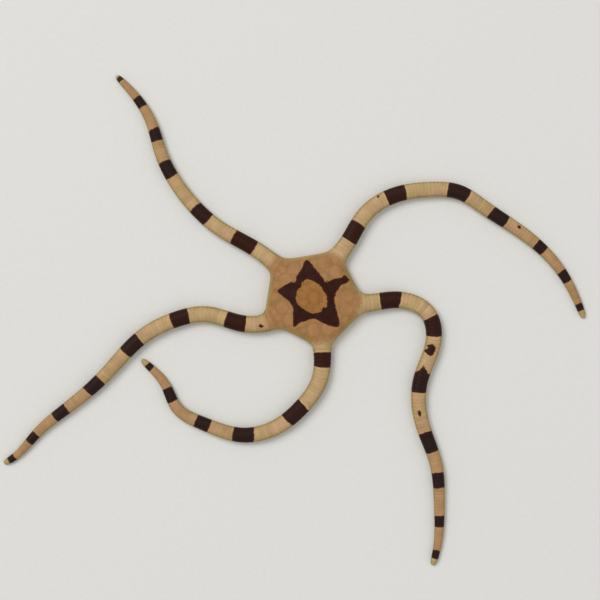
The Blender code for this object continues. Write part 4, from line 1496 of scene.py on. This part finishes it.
@dataclass
class ArmSpines(Clothing):
    """The short spines that lie flat along both sides of one arm, a few on each side of every joint.

    Shares and lengths are a joint's spines from the uppermost to the lowest. The jitters are how much the lengths
    and the shares differ at random.
    """

    name: str
    shares: tuple[float, ...] = (0.41, 0.49, 0.57, 0.655)
    lengths: tuple[float, ...] = (0.95, 1.1, 1.15, 1.0)
    jitters: tuple[float, float] = (0.06, 0.006)
    thickness: float = 0.13
    flatness: float = 0.62
    bluntness: float = 2.5
    root_place: float = 0.62
    root_lift: float = -0.05
    tip_rise: float = 0.075
    droop: float = 0.012
    level_place: float = 0.3
    round_size: float = 1.46
    tip_gap: float = 0.1
    shade: float = 0.8
    levels: int = 6
    level_power: float = 0.8
    around: int = 6

    def build(self) -> bpy.types.Object:
        """Build the arm's spines as one mesh.

        A spine's path starts on a side plate before the joint's end, runs towards the tip with the arm's surface and
        rises a little off it. Round it goes a flattened ring whose radius falls from the root to a blunt point as
        the root of one less a power of the share of its length.

        Returns:
            The object.
        """
        joints = Joints(self.body.lines[self.name])
        line = joints.line
        near, length = (row[:-1, None, None, None, None] for row in (joints.near, joints.length))
        sides, rows, along = np.ix_([side.value for side in Side], self.shares,
                                    np.linspace(0.0, 1.0, self.levels) ** self.level_power)
        turn = np.linspace(0, 2 * math.pi, self.around, endpoint=False)
        draws = (len(near), len(sides), len(self.shares), 1, 1)
        reach = np.array(self.lengths)[:, None, None] * length
        reach = reach * (1 + self.jitters[0] * self.random.normal(0, 1, draws))
        sides, rows, along = sides[..., None], rows[..., None], along[..., None]
        scale = line.scale(near)
        thick = self.thickness * np.sqrt(np.clip(1 - along**self.bluntness, 0, 1)) * scale
        s = near + self.root_place * length + reach * along
        share = rows + self.droop * (along - self.level_place) + self.jitters[1] * self.random.normal(0, 1, draws)
        share = sides * (share + thick * np.cos(turn) / (line.width(s) * self.round_size))
        lift = self.root_lift + self.tip_rise * along + self.flatness * thick * np.sin(turn) / scale
        s = np.broadcast_to(np.minimum(s, line.length - self.tip_gap), share.shape)
        points = self.body.shell(self.name, s, share, lift)
        values = self.markings.arm_values(self.name, s, share, 0.0)
        values["tint"] = np.broadcast_to(self.random.normal(0, self.shade, draws), s.shape)
        rings = points.reshape(-1, self.levels, self.around, 3)
        outer = {key: value.reshape(rings.shape[:3])[:, -2::-1] for key, value in values.items()}
        surface = closed_rounds(rings[:, -1].mean(axis=1), rings[:, -2::-1], rings[:, 0], outer)
        return surface.object(f"arm_{self.name}_spines", self.material)


@dataclass(frozen=True)
class Seed:
    """The place of a plate of the back, along a radius and aside of it, and the plate's radius."""

    along: float
    aside: float
    radius: float


def grown_reach(own: np.ndarray, sizes: np.ndarray, others: np.ndarray, radii: np.ndarray, groove: float,
                aheads: np.ndarray, furthest: float = 6.0, least: float = 0.1) -> np.ndarray:
    """Return how far plates reach when they grow out to their neighbours.

    A plate ends where the tangents to its circle and to a neighbour's are equally long, less half a groove.

    Args:
        own: The plates' middles.
        sizes: Their radii.
        others: All plates' middles.
        radii: Their radii.
        groove: The width between two plates.
        aheads: The directions.
        furthest: How far off a neighbour still counts.
        least: The least distance at which a neighbour may end a plate.

    Returns:
        One distance for each plate and direction.
    """
    between = others[None] - own[:, None]
    span = np.linalg.norm(between, axis=-1)
    near = (span > TINY) & (span < furthest)
    safe = np.where(near, span, 1.0)
    meet = np.maximum((safe**2 + sizes[:, None] ** 2 - radii[None] ** 2) / (2 * safe) - groove / 2, least)
    return power_reach(between / safe[..., None], np.where(near, meet, 1 / TINY), aheads)


def least_of(one: np.ndarray, other: np.ndarray | float, power: float) -> np.ndarray:
    """Return the lesser of two distances, with the change from one to the other rounded by a power mean."""
    return (one**-power + other**-power) ** (-1 / power)


def scattered(step: float, random: np.random.Generator, jitter: float = 0.2) -> np.ndarray:
    """Return the points of a triangular grid over the disc, each moved a little at random.

    Args:
        step: From one point to the next.
        random: Where the moves are drawn from.
        jitter: How far they move, as a share of the step.

    Returns:
        The points.
    """
    height = math.sqrt(0.75)  # of a triangle with sides of 1
    more_rows = 1.16  # than columns, as rows lie closer
    columns = int(2 * ROOT_REACH / step) + 2
    row, column = np.meshgrid(np.arange(columns * more_rows), np.arange(columns), indexing="ij")
    grid = np.stack([(column + 0.5 * (row % 2)) * step, row * step * height], axis=-1).reshape(-1, 2)
    return grid - ROOT_REACH + random.uniform(-jitter, jitter, grid.shape) * step


@dataclass(frozen=True)
class PlateKind:
    """How finely a kind of the back's plates is made: its rings' shares, the points in a ring, and its dome."""

    shares: tuple[float, ...]
    around: int
    dome: float


@dataclass
class BackPlates(Clothing):
    """The plates of the back: large ones, each fitted to its neighbours, with belts of small scales between them.

    The seeds on the sides are placed by shares of the way to each side, those on the arms by their distances.
    """

    centre_radius: float = 1.45
    side_seeds: tuple[Seed, ...] = (
        Seed(0.27, 0.0, 1.15), Seed(0.46, 0.0, 1.3), Seed(0.665, 0.0, 1.6), Seed(0.85, 1.5, 1.15),
        Seed(0.85, -1.5, 1.15),
    )
    arm_seeds: tuple[Seed, ...] = (
        Seed(3.3, 0.0, 1.15), Seed(5.9, 0.0, 1.3), Seed(8.2, 0.0, 0.65), Seed(9.1, 1.95, 1.9),
        Seed(9.1, -1.95, 1.9), Seed(11.6, 0.0, 1.0), Seed(11.8, 1.9, 0.8), Seed(11.8, -1.9, 0.8),
    )
    side_jitter: float = 0.12
    arm_jitter: float = 0.08
    guard_reach: float = 14.0
    guard_asides: tuple[float, ...] = (-1.6, 0.0, 1.6)
    guard_radius: float = 0.8
    large: PlateKind = PlateKind((0.3, 0.6, 0.82, 0.94, 1.0), 36, 0.02)
    small: PlateKind = PlateKind((0.8, 1.0), 9, 0.01)
    belt: float = 0.24
    belt_step: float = 0.5
    scale_radius: float = 0.2
    groove: float = 0.03
    margin: float = 0.95
    edge_belt: float = 0.5
    edge_gap: float = 0.12
    edge_limit: float = 7.0
    edge_least: float = 0.1
    edge_power: float = 14.0
    rise: float = 0.045
    bevel: float = 0.75
    root: float = 0.3
    # How much painted groove shade the plates' outer rings take.
    edge_groove_shade: float = 0.12
    shade: float = 0.3

    def build(self) -> bpy.types.Object:
        """Build the large plates and the belts of scales as one mesh of closed plates."""
        middles, radii = self._large()
        guards = len(self.guard_asides) * ARM_COUNT
        plates = len(middles) - guards
        scales = self._belts(middles, radii, plates)
        every = np.concatenate([middles, scales])
        sizes = np.concatenate([radii, np.full(len(scales), self.scale_radius)])
        surfaces = [
            self._plates(np.arange(plates), every, sizes, self.large),
            self._plates(np.arange(len(middles), len(every)), every, sizes, self.small),
        ]
        log.info("back: %d large plates, %d scales", plates, len(scales))
        return Surface.join(surfaces).object("back_plates", self.material)

    def _large(self) -> tuple[np.ndarray, np.ndarray]:
        """Return the large plates' middles and radii, and at their end those of the guards.

        A guard has no plate. It keeps the place of an arm's first plates.
        """
        body = self.body
        middles, radii = [np.zeros(2)], [self.centre_radius]
        for far, turn in zip(body.disc_sides, body.turns):
            ahead = towards(turn)
            for seed in self.side_seeds:
                jitter = self.random.uniform(-self.side_jitter, self.side_jitter, 2)
                middles.append(ahead * seed.along * far + to_right(ahead) * seed.aside + jitter)
                radii.append(seed.radius)
        for line in body.lines.values():
            for seed in self.arm_seeds:
                side = to_right(line.heading(seed.along, line.half_step))
                jitter = self.random.uniform(-self.arm_jitter, self.arm_jitter, 2)
                middles.append(line.skeleton(seed.along) + side * seed.aside + jitter)
                radii.append(seed.radius)
        at = self.guard_reach - ROOT_REACH
        middles += [line.place(at) + line.aside(at) * aside for line in body.lines.values()
                    for aside in self.guard_asides]
        return np.array(middles), np.array(radii + [self.guard_radius] * (len(middles) - len(radii)))

    def _belts(self, middles: np.ndarray, radii: np.ndarray, plates: int) -> np.ndarray:
        """Return places for the small scales.

        They are the scattered points within half a belt of the border between the two nearest large plates, by their
        distances squared less their radii squared, and those in the belt along the disc's edge.

        Args:
            middles: The large plates' middles, and the guards'.
            radii: Their radii.
            plates: How many of them are plates.

        Returns:
            One place for each scale.
        """
        grid = scattered(self.belt_step, self.random)
        power = ((grid[:, None] - middles) ** 2).sum(-1) - radii**2
        order = np.argsort(power, axis=1)[:, :2]
        first, second = np.take_along_axis(power, order, axis=1).T
        span = np.linalg.norm(middles[order[:, 0]] - middles[order[:, 1]], axis=1)
        within = self.body.inside(*grid.T) - self.margin
        belt = ((second - first) / (2 * span) < self.belt) | (within < self.edge_belt)
        return grid[belt & (within > self.edge_gap) & (order[:, 0] < plates)]

    def _plates(self, which: np.ndarray, middles: np.ndarray, radii: np.ndarray, kind: PlateKind) -> Surface:
        """Make some plates on the back: a low dome with a bevelled edge, grown out to its neighbours.

        Args:
            which: Numbers of the plates to make.
            middles: All plates' middles.
            radii: Their radii.
            kind: How finely to make them.

        Returns:
            The plates.
        """
        body = self.body
        ahead = circle(kind.around)
        own = middles[which]
        reach = grown_reach(own, radii[which], middles, radii, self.groove, ahead)
        edge = body.edge_reach(np.repeat(own, kind.around, axis=0), np.tile(ahead, (len(own), 1)), self.edge_limit)
        margin = np.maximum(edge.reshape(reach.shape) - self.margin, self.edge_least)
        share = np.array(kind.shares)
        plan = fanned(own, ahead, least_of(reach, margin, self.edge_power), share)
        border = (share == 1.0).astype(float)
        lift = self.rise * (1 - self.bevel * border) + kind.dome * (1 - share**2)
        rings = raised(plan, body.top(plan[..., 0], plan[..., 1]) + lift[:, None])
        pole = raised(own, body.top(*own.T) + self.rise + kind.dome)
        # The plates' outer rings take painted groove shade.
        values = self.markings.disc_values(rings, self.edge_groove_shade * border[:, None])
        values["tint"] = self.shades(self.shade, rings.shape[:3])
        return closed_rounds(pole, rings, rings[:, -1] - np.array([0, 0, self.root]), values)


@dataclass
class RimScales(Clothing):
    """The rows of small scales that go over the disc's rim between the arms.

    The rows are places across the rim, from -1 on the back to 1 on the underside. A scale is a rounded square, whose
    two rings are shares of it at shares of its rise.
    """

    rows: tuple[float, ...] = (-0.88, -0.63, -0.38, -0.13, 0.13, 0.4, 0.68)
    half_row: float = 0.14
    step: float = 0.55
    side_gap: float = 0.02
    first_place: float = 0.25
    jitters: tuple[float, float] = (0.04, 0.01)
    around: int = 9
    squareness: float = 4.0
    shares: tuple[float, float] = (0.78, 1.0)
    rises: tuple[float, float] = (1.0, 0.3)
    top_inset: float = 1.0
    low_inset: float = 1.3
    slope_step: float = 0.03
    rise: float = 0.07
    dome: float = 0.015
    root: float = 0.25
    # How much painted groove shade the scales' outer rings take.
    edge_groove_shade: float = 0.4
    shade: float = 0.5
    edge_points: int = 1440
    edge_limit: float = 18.0
    free_reach: float = 1.3
    arm_aside: float = 4.5

    def build(self) -> bpy.types.Object:
        """Build all the rows as one mesh of closed scales."""
        edge = self.body.rim(circle(self.edge_points), self.edge_limit)
        free = np.ones(len(edge), bool)
        for line in self.body.lines.values():
            apart = edge - line.place(-self.free_reach)
            ahead, aside = (apart @ way for way in (line.ahead(-self.free_reach), line.aside(-self.free_reach)))
            free &= (ahead < 0) | (np.abs(aside) > self.arm_aside)
        first = int(np.flatnonzero(~free)[0])
        edge, free = np.roll(edge, -first, axis=0), np.roll(free, -first)
        starts = np.flatnonzero(free & ~np.roll(free, 1))
        ends = np.flatnonzero(free & ~np.roll(free, -1)) + 1
        surfaces = [self._side(edge[start:end]) for start, end in zip(starts, ends)]
        return Surface.join(surfaces).object("rim_scales", self.material)

    def _side(self, edge: np.ndarray) -> Surface:
        """Lay the rows over one stretch of the rim.

        Args:
            edge: Points along the stretch.

        Returns:
            Its scales.
        """
        along = path_lengths(edge)
        inwards = -to_right(np.gradient(edge, along, axis=0))
        inwards /= np.linalg.norm(inwards, axis=-1, keepdims=True)
        count = int(along[-1] / self.step)
        place, row = (part.ravel() for part in np.meshgrid(np.arange(count), np.arange(len(self.rows)), indexing="ij"))
        u = (place + self.first_place + 0.5 * (row % 2)) * along[-1] / count
        u = u + self.random.uniform(-self.jitters[0], self.jitters[0], u.shape)
        t = np.array(self.rows)[row] + self.random.uniform(-self.jitters[1], self.jitters[1], u.shape)
        square = circle(self.around)
        square = square / (np.abs(square) ** self.squareness).sum(axis=1, keepdims=True) ** (1 / self.squareness)
        share = np.array(self.shares)[:, None]
        us = u[:, None, None] + share * square[:, 0] * (self.step / 2 - self.side_gap)
        ts = t[:, None, None] + share * square[:, 1] * self.half_row
        lift = np.array(self.rises)[:, None] * self.rise
        rings, pole, root = (self._rim(edge, inwards, along, *at) for at in (
            (us, ts, lift), (u, t, self.rise + self.dome), (us[:, -1], ts[:, -1], -self.root)))
        # The scales' outer rings take painted groove shade.
        values = self.markings.disc_values(rings, self.edge_groove_shade * (share == 1.0))
        values["tint"] = self.shades(self.shade, us.shape)
        return closed_rounds(pole, rings, root, values)

    def _rim(self, edge: np.ndarray, inwards: np.ndarray, along: np.ndarray, u: np.ndarray, t: np.ndarray,
             lift: np.ndarray | float) -> np.ndarray:
        """Return points on the rim.

        The inset from the edge is the square of the place across the rim, times the inset at its far end above or
        below. The height is the back's or the underside's, and the lift is square to the profile.

        Args:
            edge: Points along the edge.
            inwards: The unit vectors inwards at them.
            along: Their distances along the edge.
            u: The wanted distances along the edge.
            t: The wanted places across the rim.
            lift: How far off the rim.

        Returns:
            The points.
        """
        start, inner = read_path(u, along, edge), read_path(u, along, inwards)

        def profile(at: np.ndarray) -> tuple[np.ndarray, np.ndarray]:
            """Return the inset and the height."""
            inset = np.where(at < 0, self.top_inset, self.low_inset) * at**2
            plan = start + inner * inset[..., None]
            return inset, np.where(at < 0, self.body.top(plan[..., 0], plan[..., 1]), self.body.under(inset))

        inset, height = profile(t)
        (before, above), (after, below) = profile(t - self.slope_step), profile(t + self.slope_step)
        out, up = above - below, before - after
        length = np.hypot(out, up)
        return raised(start + inner * (inset - lift * out / length)[..., None], height + lift * up / length)


@dataclass(frozen=True)
class PadKind:
    """How flat plates or scales of the underside are made.

    The rings are shares of the outline at heights, then come the middle's height, the root's, and the points in a
    ring.
    """

    shares: tuple[float, ...]
    heights: tuple[float, ...]
    middle: float
    root: float
    around: int


FLAT_PAD = PadKind((0.55, 0.88, 1.0), (0.03, 0.04, 0.13), 0.03, 0.53, 24)


@dataclass
class Underside(Clothing):
    """The plates of the disc's underside: shields round the mouth, plates under the arms' roots, and small scales.

    The shields' corners are places along and aside of the line from the mouth to the middle of the disc's side. On
    each side of an arm's middle row of plates lies one more, with its edges arm_rows past the middle row's.
    """

    mouth_shield: tuple[tuple[float, float], ...] = (
        (5.0, 0.0), (6.1, 1.3), (7.6, 1.55), (8.8, 1.0), (9.3, 0.0), (8.8, -1.0), (7.6, -1.55), (6.1, -1.3),
    )
    side_shield: tuple[tuple[float, float], ...] = ((4.95, 0.6), (7.0, 2.0), (7.0, 2.75), (5.7, 2.5), (4.95, 1.5))
    mouth_pad: PadKind = FLAT_PAD
    side_pad: PadKind = replace(FLAT_PAD, around=20)
    arm_pad: PadKind = replace(FLAT_PAD, around=12)
    scale: PadKind = PadKind((0.78, 1.0), (0.27, 0.33), 0.26, 0.58, 9)
    pad_power: float = 12.0
    first_reach: float = 5.3
    last_place: float = -2.3
    arm_count: int = 7
    arm_halves: tuple[float, float] = (0.62, 1.2)
    arm_step: float = 0.3
    arm_rows: tuple[float, float] = (0.08, 0.95)
    arm_narrow: float = 0.12
    arm_length: float = 0.47
    arm_shorter: float = 0.06
    scale_step: float = 0.6
    scale_radius: float = 0.25
    scale_most: float = 0.42
    scale_power: float = 8.0
    scale_groove: float = 0.06
    mouth_clear: float = 5.4
    rim_clear: float = 1.2
    shield_clear: float = 0.3
    arm_clear: float = 2.15
    slit_clear: tuple[float, float] = (2.55, 3.25)
    seam_place: float = -1.2
    seam_clear: float = 4.5
    skeleton_points: int = 60
    # How much painted groove shade the plates' outer rings take.
    edge_groove_shade: float = 0.8
    shade: float = 0.7

    def build(self) -> bpy.types.Object:
        """Build all the plates as one mesh of closed plates."""
        shields = []
        for outline, mirror in ((self.mouth_shield, 1), (self.side_shield, 1), (self.side_shield, -1)):
            corners = np.array(outline)
            ahead = towards(self.body.turns)[:, None]
            shields.append(corners[:, :1] * ahead + corners[:, 1:] * mirror * to_right(ahead))
        surfaces = [self._pads(shields[0], self.mouth_pad)]
        surfaces += [self._pads(np.concatenate(shields[1:]), self.side_pad)]
        surfaces += [self._pads(self._under_plates(line), self.arm_pad) for line in self.body.lines.values()]
        surfaces += [self._scales([outline for kind in shields for outline in kind])]
        return Surface.join(surfaces).object("underside_plates", self.material)

    def _under_plates(self, line: Midline) -> np.ndarray:
        """Return the corners of the plates under an arm's root: a row in the middle, and one on each side of it.

        Args:
            line: The arm's midline.

        Returns:
            Corners by plate.
        """
        reach = np.linspace(self.first_reach, ROOT_REACH + self.last_place, self.arm_count)
        middle, ahead = line.skeleton(reach), line.heading(reach, self.arm_step)
        side = to_right(ahead)
        half = np.linspace(*self.arm_halves, self.arm_count)
        near, far = (half + step for step in self.arm_rows)
        shorter = self.arm_shorter
        plates = []
        for inner, outer, less in ((-half, half, 0.0), (near, far, shorter), (-near, -far, shorter)):
            corners = []
            for end, across in ((-1, inner), (1, inner), (1, outer), (-1, outer)):
                along = end * self.arm_length * (reach[1] - reach[0] - less)
                corners.append(middle + ahead * along + side * (across * (1 + self.arm_narrow * end))[:, None])
            plates.append(np.stack(corners, axis=1))
        return np.concatenate(plates)

    def _pads(self, corners: np.ndarray, kind: PadKind) -> Surface:
        """Make flat plates with bevelled edges and rounded corners of convex outlines.

        Args:
            corners: The outlines, by plate and corner.
            kind: How they are made.

        Returns:
            The plates, with their faces just above the floor and their roots in the skin.
        """
        middle = corners.mean(axis=1)
        step = np.roll(corners, -1, axis=1) - corners
        normal = to_right(step) / np.linalg.norm(step, axis=-1, keepdims=True)
        distance = ((corners - middle[:, None]) * normal).sum(axis=-1)
        normal = normal * np.sign(distance)[..., None]
        return self._flat(middle, power_reach(normal, np.abs(distance), circle(kind.around), self.pad_power), kind)

    def _flat(self, middle: np.ndarray, reach: np.ndarray, kind: PadKind) -> Surface:
        """Make flat forms from their outlines, pale all over, with a shade of its own for each.

        Args:
            middle: The forms' middles.
            reach: How far each outline is, by form and direction.
            kind: How they are made.

        Returns:
            The forms.
        """
        share = np.array(kind.shares)
        rings = raised(fanned(middle, circle(kind.around), reach, share), np.array(kind.heights)[:, None])
        # The forms' outer rings take painted groove shade.
        values = self.markings.disc_values(rings, self.edge_groove_shade * (share[:, None] == 1.0))
        values["tint"] = self.shades(self.shade, rings.shape[:3])
        return closed_rounds(raised(middle, kind.middle), rings, raised(rings[:, -1, :, :2], kind.root), values)

    def _scales(self, shields: list[np.ndarray]) -> Surface:
        """Fill what lies between the shields, the arms' roots and the rim with small scales.

        Args:
            shields: The outlines of the shields.

        Returns:
            The scales.
        """
        grid = scattered(self.scale_step, self.random)
        x, y = grid.T
        free = (np.hypot(x, y) > self.mouth_clear) & (self.body.inside(x, y) > self.rim_clear)
        for outline in shields:
            free &= polygon_depth(x, y, outline) < -self.shield_clear
        near, far = self.slit_clear
        for line in self.body.lines.values():
            reach = np.linspace(self.first_reach - 1, ROOT_REACH - 1, self.skeleton_points)
            apart = np.linalg.norm(grid[:, None] - line.skeleton(reach), axis=-1).min(axis=1)
            beyond = (grid - line.place(self.seam_place)) @ line.ahead(self.seam_place) > 0
            free &= (apart > self.arm_clear) & ((apart < near) | (apart > far)) & ~(beyond & (apart < self.seam_clear))
        own = grid[free]
        radii = np.full(len(own), self.scale_radius)
        reach = grown_reach(own, radii, own, radii, self.scale_groove, circle(self.scale.around))
        return self._flat(own, least_of(reach, self.scale_most, self.scale_power), self.scale)


@dataclass
class Jaw:
    """One of the five jaws: a wedge with rounded edges, small blunt teeth along both sides and a few at its tip.

    A tooth's sizes are its half length, its half width and its half height. The levels are the wedge's rings, as
    shares of its outline at heights.
    """

    body: BodyPlan
    markings: Markings
    material: bpy.types.Material
    index: int
    node: str
    half_angle: float = 36.0
    outer: float = 4.35
    centre: float = 2.9
    blunt: float = 0.75
    gap: float = 0.32
    corner_power: float = 10.0
    around: int = 48
    face: float = 0.03
    levels: tuple[tuple[float, float], ...] = (
        (0.35, 0.03), (0.65, 0.04), (0.82, 0.08), (0.92, 0.16), (0.975, 0.3), (1.0, 0.5), (1.0, 1.75), (1.0, 1.85),
    )
    teeth: int = 6
    first_tooth: float = 1.25
    last_tooth: float = 3.5
    tip_teeth: tuple[tuple[float, float], ...] = ((0.78, 0.3), (0.8, 0.85), (0.86, 1.4))
    tooth: tuple[float, float, float] = (0.34, 0.2, 0.3)
    tooth_height: float = 0.3
    tooth_lean: float = 0.5
    tooth_taper: float = 0.25
    tooth_levels: int = 7
    tooth_around: int = 12
    # How much painted groove shade the teeth take.
    tooth_groove_shade: float = 0.15
    floor_gap: float = 0.01
    tan: float = 0.3

    def build(self) -> bpy.types.Object:
        """Build the jaw's wedge and teeth as one mesh of closed forms."""
        return Surface.join([self._wedge(), self._teeth()]).object(f"mouth_{self.node}", self.material)

    def _place(self, along: np.ndarray, aside: np.ndarray, up: np.ndarray | float) -> np.ndarray:
        """Return points from their places along and aside of the jaw and their heights."""
        ahead = towards(self.body.turns[self.index])
        return raised(along[..., None] * ahead + aside[..., None] * to_right(ahead), up)

    def _values(self, points: np.ndarray, groove: float) -> Values:
        """Return what the materials read: a plain pale jaw."""
        nowhere = self.markings.nowhere
        plain = {"side": 0.0, "tipward": 0.0, "lobe": 0.0, "tint": 0.0, "disc": self.tan, "groove": groove,
                 "marking": nowhere, "patch": nowhere}
        return {name: np.full(points.shape[:-1], value) for name, value in plain.items()}

    def _wedge(self) -> Surface:
        """Build the wedge: a rounded triangle with a blunt tip, drawn in towards its lower face as a quarter circle.

        Returns:
            The wedge.
        """
        steep = math.radians(self.half_angle)
        sine, cosine = math.sin(steep), math.cos(steep)
        side = self.centre * sine - self.gap
        normals = np.array([[-1, 0], [1, 0], [-sine, cosine], [-sine, -cosine]])
        far = np.array([self.centre - self.blunt, self.outer - self.centre, side, side])
        ahead = circle(self.around)
        outline = power_reach(normals[None], far[None], ahead, self.corner_power)[0][:, None] * ahead
        share, height = np.array(self.levels).T[..., None]
        rings = self._place(self.centre + outline[:, 0] * share, outline[:, 1] * share, height)[None]
        pole = self._place(np.array([self.centre]), np.zeros(1), self.face)
        return closed_rounds(pole, rings[:, :-1], rings[:, -1], self._values(rings[:, :-1], 0.0))

    def _teeth(self) -> Surface:
        """Build the teeth: small egg shapes on both sides, and a stack of three at the tip.

        Returns:
            The teeth.
        """
        steep = math.radians(self.half_angle)
        step = np.linspace(self.first_tooth, self.last_tooth, self.teeth)
        line = step * math.tan(steep) - self.gap / math.cos(steep)
        tip, tip_height = np.array(self.tip_teeth).T
        still = np.zeros(len(tip))
        lean = np.full(self.teeth, steep + self.tooth_lean)
        along, aside, up, lean = (np.concatenate(part)[:, None, None] for part in (
            (step, step, tip), (line, -line, still), (np.full(2 * self.teeth, self.tooth_height), tip_height),
            (lean, -lean, still)))
        polar = np.linspace(0, math.pi, self.tooth_levels + 2)[1:-1, None]
        around = circle(self.tooth_around)
        long, wide, deep = self.tooth
        x = -long * np.cos(polar) + 0 * around[:, 0]
        y = wide * np.sin(polar) * around[:, 0] * (1 + self.tooth_taper * np.cos(polar))
        z = deep * np.sin(polar) * around[:, 1]
        rings = self._place(along + x * np.cos(lean) - y * np.sin(lean), aside + x * np.sin(lean) + y * np.cos(lean),
                            np.maximum(up + z, self.floor_gap))
        first, last = (self._place(along - way * np.cos(lean), aside - way * np.sin(lean), up)[:, 0, 0]
                       for way in (long, -long))
        root = 0.5 * (rings[:, -1] + last[:, None])
        # The teeth take painted groove shade.
        return closed_rounds(first, rings, root, self._values(rings, self.tooth_groove_shade))


@dataclass(frozen=True)
class Lamp:
    """A square soft light that faces the animal: its place and size in metres, and its power in watts."""

    name: str
    place: tuple[float, float, float]
    size: float
    power: float


@dataclass
class Studio:
    """The camera straight above at the photo's framing, a plain pale floor, and soft lights."""

    picture_width: float = 165.0
    picture_middle: tuple[float, float] = (1.51, 5.6)
    sharp_height: float = 2.0
    lens: float = 110.0
    sensor: float = 36.0
    clip_start: float = 0.01
    floor_size: float = 8.0
    floor_points: int = 61
    floor_drop: float = 0.03
    floor_grain: float = 900.0
    floor_dark: Colour = linear(226, 225, 222)
    floor_pale: Colour = linear(232, 231, 228)
    floor_roughness: float = 0.8
    lamps: tuple[Lamp, ...] = (Lamp("key", (-1.1, 0.95, 1.9), 1.3, 30.3), Lamp("fill", (1.6, -0.8, 1.7), 2.5, 12.3))
    sky: Colour = (1.0, 0.985, 0.96, 1.0)
    sky_strength: float = 0.43

    def build(self) -> None:
        """Set up the camera, the floor, the lights and the world."""
        self._camera()
        self._floor()
        for lamp in self.lamps:
            self._light(lamp)
        world = bpy.data.worlds.new("studio")
        world.use_nodes = True
        NodeBoard(world.node_tree).feed(world.node_tree.nodes["Background"],
                                        {"Color": self.sky, "Strength": self.sky_strength})
        bpy.context.scene.world = world
        bpy.context.scene.view_settings.view_transform = "Standard"

    def _camera(self) -> None:
        """Look straight down from where the picture's width fits at the height of the widest line."""
        data = bpy.data.cameras.new("camera")
        data.lens = self.lens
        data.sensor_width = self.sensor
        data.clip_start = self.clip_start
        distance = self.picture_width * self.lens / self.sensor
        camera = bpy.data.objects.new("camera", data)
        camera.location = np.array([*self.picture_middle, self.sharp_height + distance]) * MM
        bpy.context.scene.collection.objects.link(camera)
        bpy.context.scene.camera = camera

    def _floor(self) -> None:
        """Lay a flat sheet just under the animal."""
        material = bpy.data.materials.new("pale_floor")
        material.use_nodes = True
        board = NodeBoard(material.node_tree)
        noise = board.noise(board.place(), self.floor_grain, 2.0)
        board.feed(material.node_tree.nodes["Principled BSDF"], {
            "Base Color": board.blend(noise, self.floor_dark, self.floor_pale),
            "Roughness": self.floor_roughness,
        })
        axis = np.linspace(-0.5, 0.5, self.floor_points) * self.floor_size / MM
        plan = np.stack(np.meshgrid(axis, axis, indexing="xy"), axis=-1)
        points = raised(plan, -self.floor_drop).reshape(-1, 3)
        Surface(points, [grid_quads(self.floor_points, self.floor_points)]).object("floor", material)

    @staticmethod
    def _light(lamp: Lamp) -> None:
        """Hang a light."""
        data = bpy.data.lights.new(lamp.name, "AREA")
        data.size = lamp.size
        data.energy = lamp.power
        light = bpy.data.objects.new(lamp.name, data)
        light.location = lamp.place
        x, y, z = lamp.place
        light.rotation_euler = (math.acos(z / math.hypot(x, y, z)), 0.0, math.atan2(y, x) + math.pi / 2)
        bpy.context.scene.collection.objects.link(light)


def enter(piece: bpy.types.Object, slot: Slot, *stands_for: str) -> None:
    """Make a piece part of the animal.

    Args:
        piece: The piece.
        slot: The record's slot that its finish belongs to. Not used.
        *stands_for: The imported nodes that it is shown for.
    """
    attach(piece, "root")
    if stands_for:
        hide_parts(*stands_for)
    mesh = piece.data
    mesh.calc_loop_triangles()
    log.info("%s: %d points, %d triangles", piece.name, len(mesh.vertices), len(mesh.loop_triangles))


def main() -> None:
    """Build the studio and the animal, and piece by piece."""
    logging.basicConfig(level=logging.INFO, format="%(message)s", stream=sys.stdout)
    Studio().build()
    random = np.random.default_rng(SEED)
    body = BodyPlan()
    markings = Markings(body)
    finishes = (
        ShellFinish("plates"),
        # The skin shows between the plates and takes the strongest painted groove shade.
        ShellFinish("skin", roughness=0.6, groove_shade_strength=0.6),
        # The spines' dark colours are paler than the plates': partly their own paler tone, partly painted highlight
        # along the arms' sides.
        ShellFinish("spines", dark=linear(104, 86, 72), dark_tip=linear(82, 70, 62), dark_rim=linear(116, 92, 76),
                    dark_edge_and_sheen=linear(118, 103, 86)),
        ShellFinish("jaws", roughness=0.4),
    )
    effects = Effects()
    plates, skin, spines, jaws = (finish.material(effects) for finish in finishes)
    flesh = [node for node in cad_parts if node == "disc" or node.startswith("arm_")]
    enter(Skin(body, markings, skin).build(), Slot.DISC, *flesh)
    for kind in (BackPlates, RimScales, Underside):
        enter(kind(body, markings, plates, random).build(), Slot.DISC)
    for name in body.lines:
        enter(ArmPlates(body, markings, plates, random, name).build(), Slot.ARM)
        enter(ArmSpines(body, markings, spines, random, name).build(), Slot.ARM)
    for index, pair in enumerate(SIDE_ARMS):
        enter(Jaw(body, markings, jaws, index, f"jaw_{pair}").build(), Slot.JAW, f"jaw_{pair}")


if __name__ == "__main__":
    main()
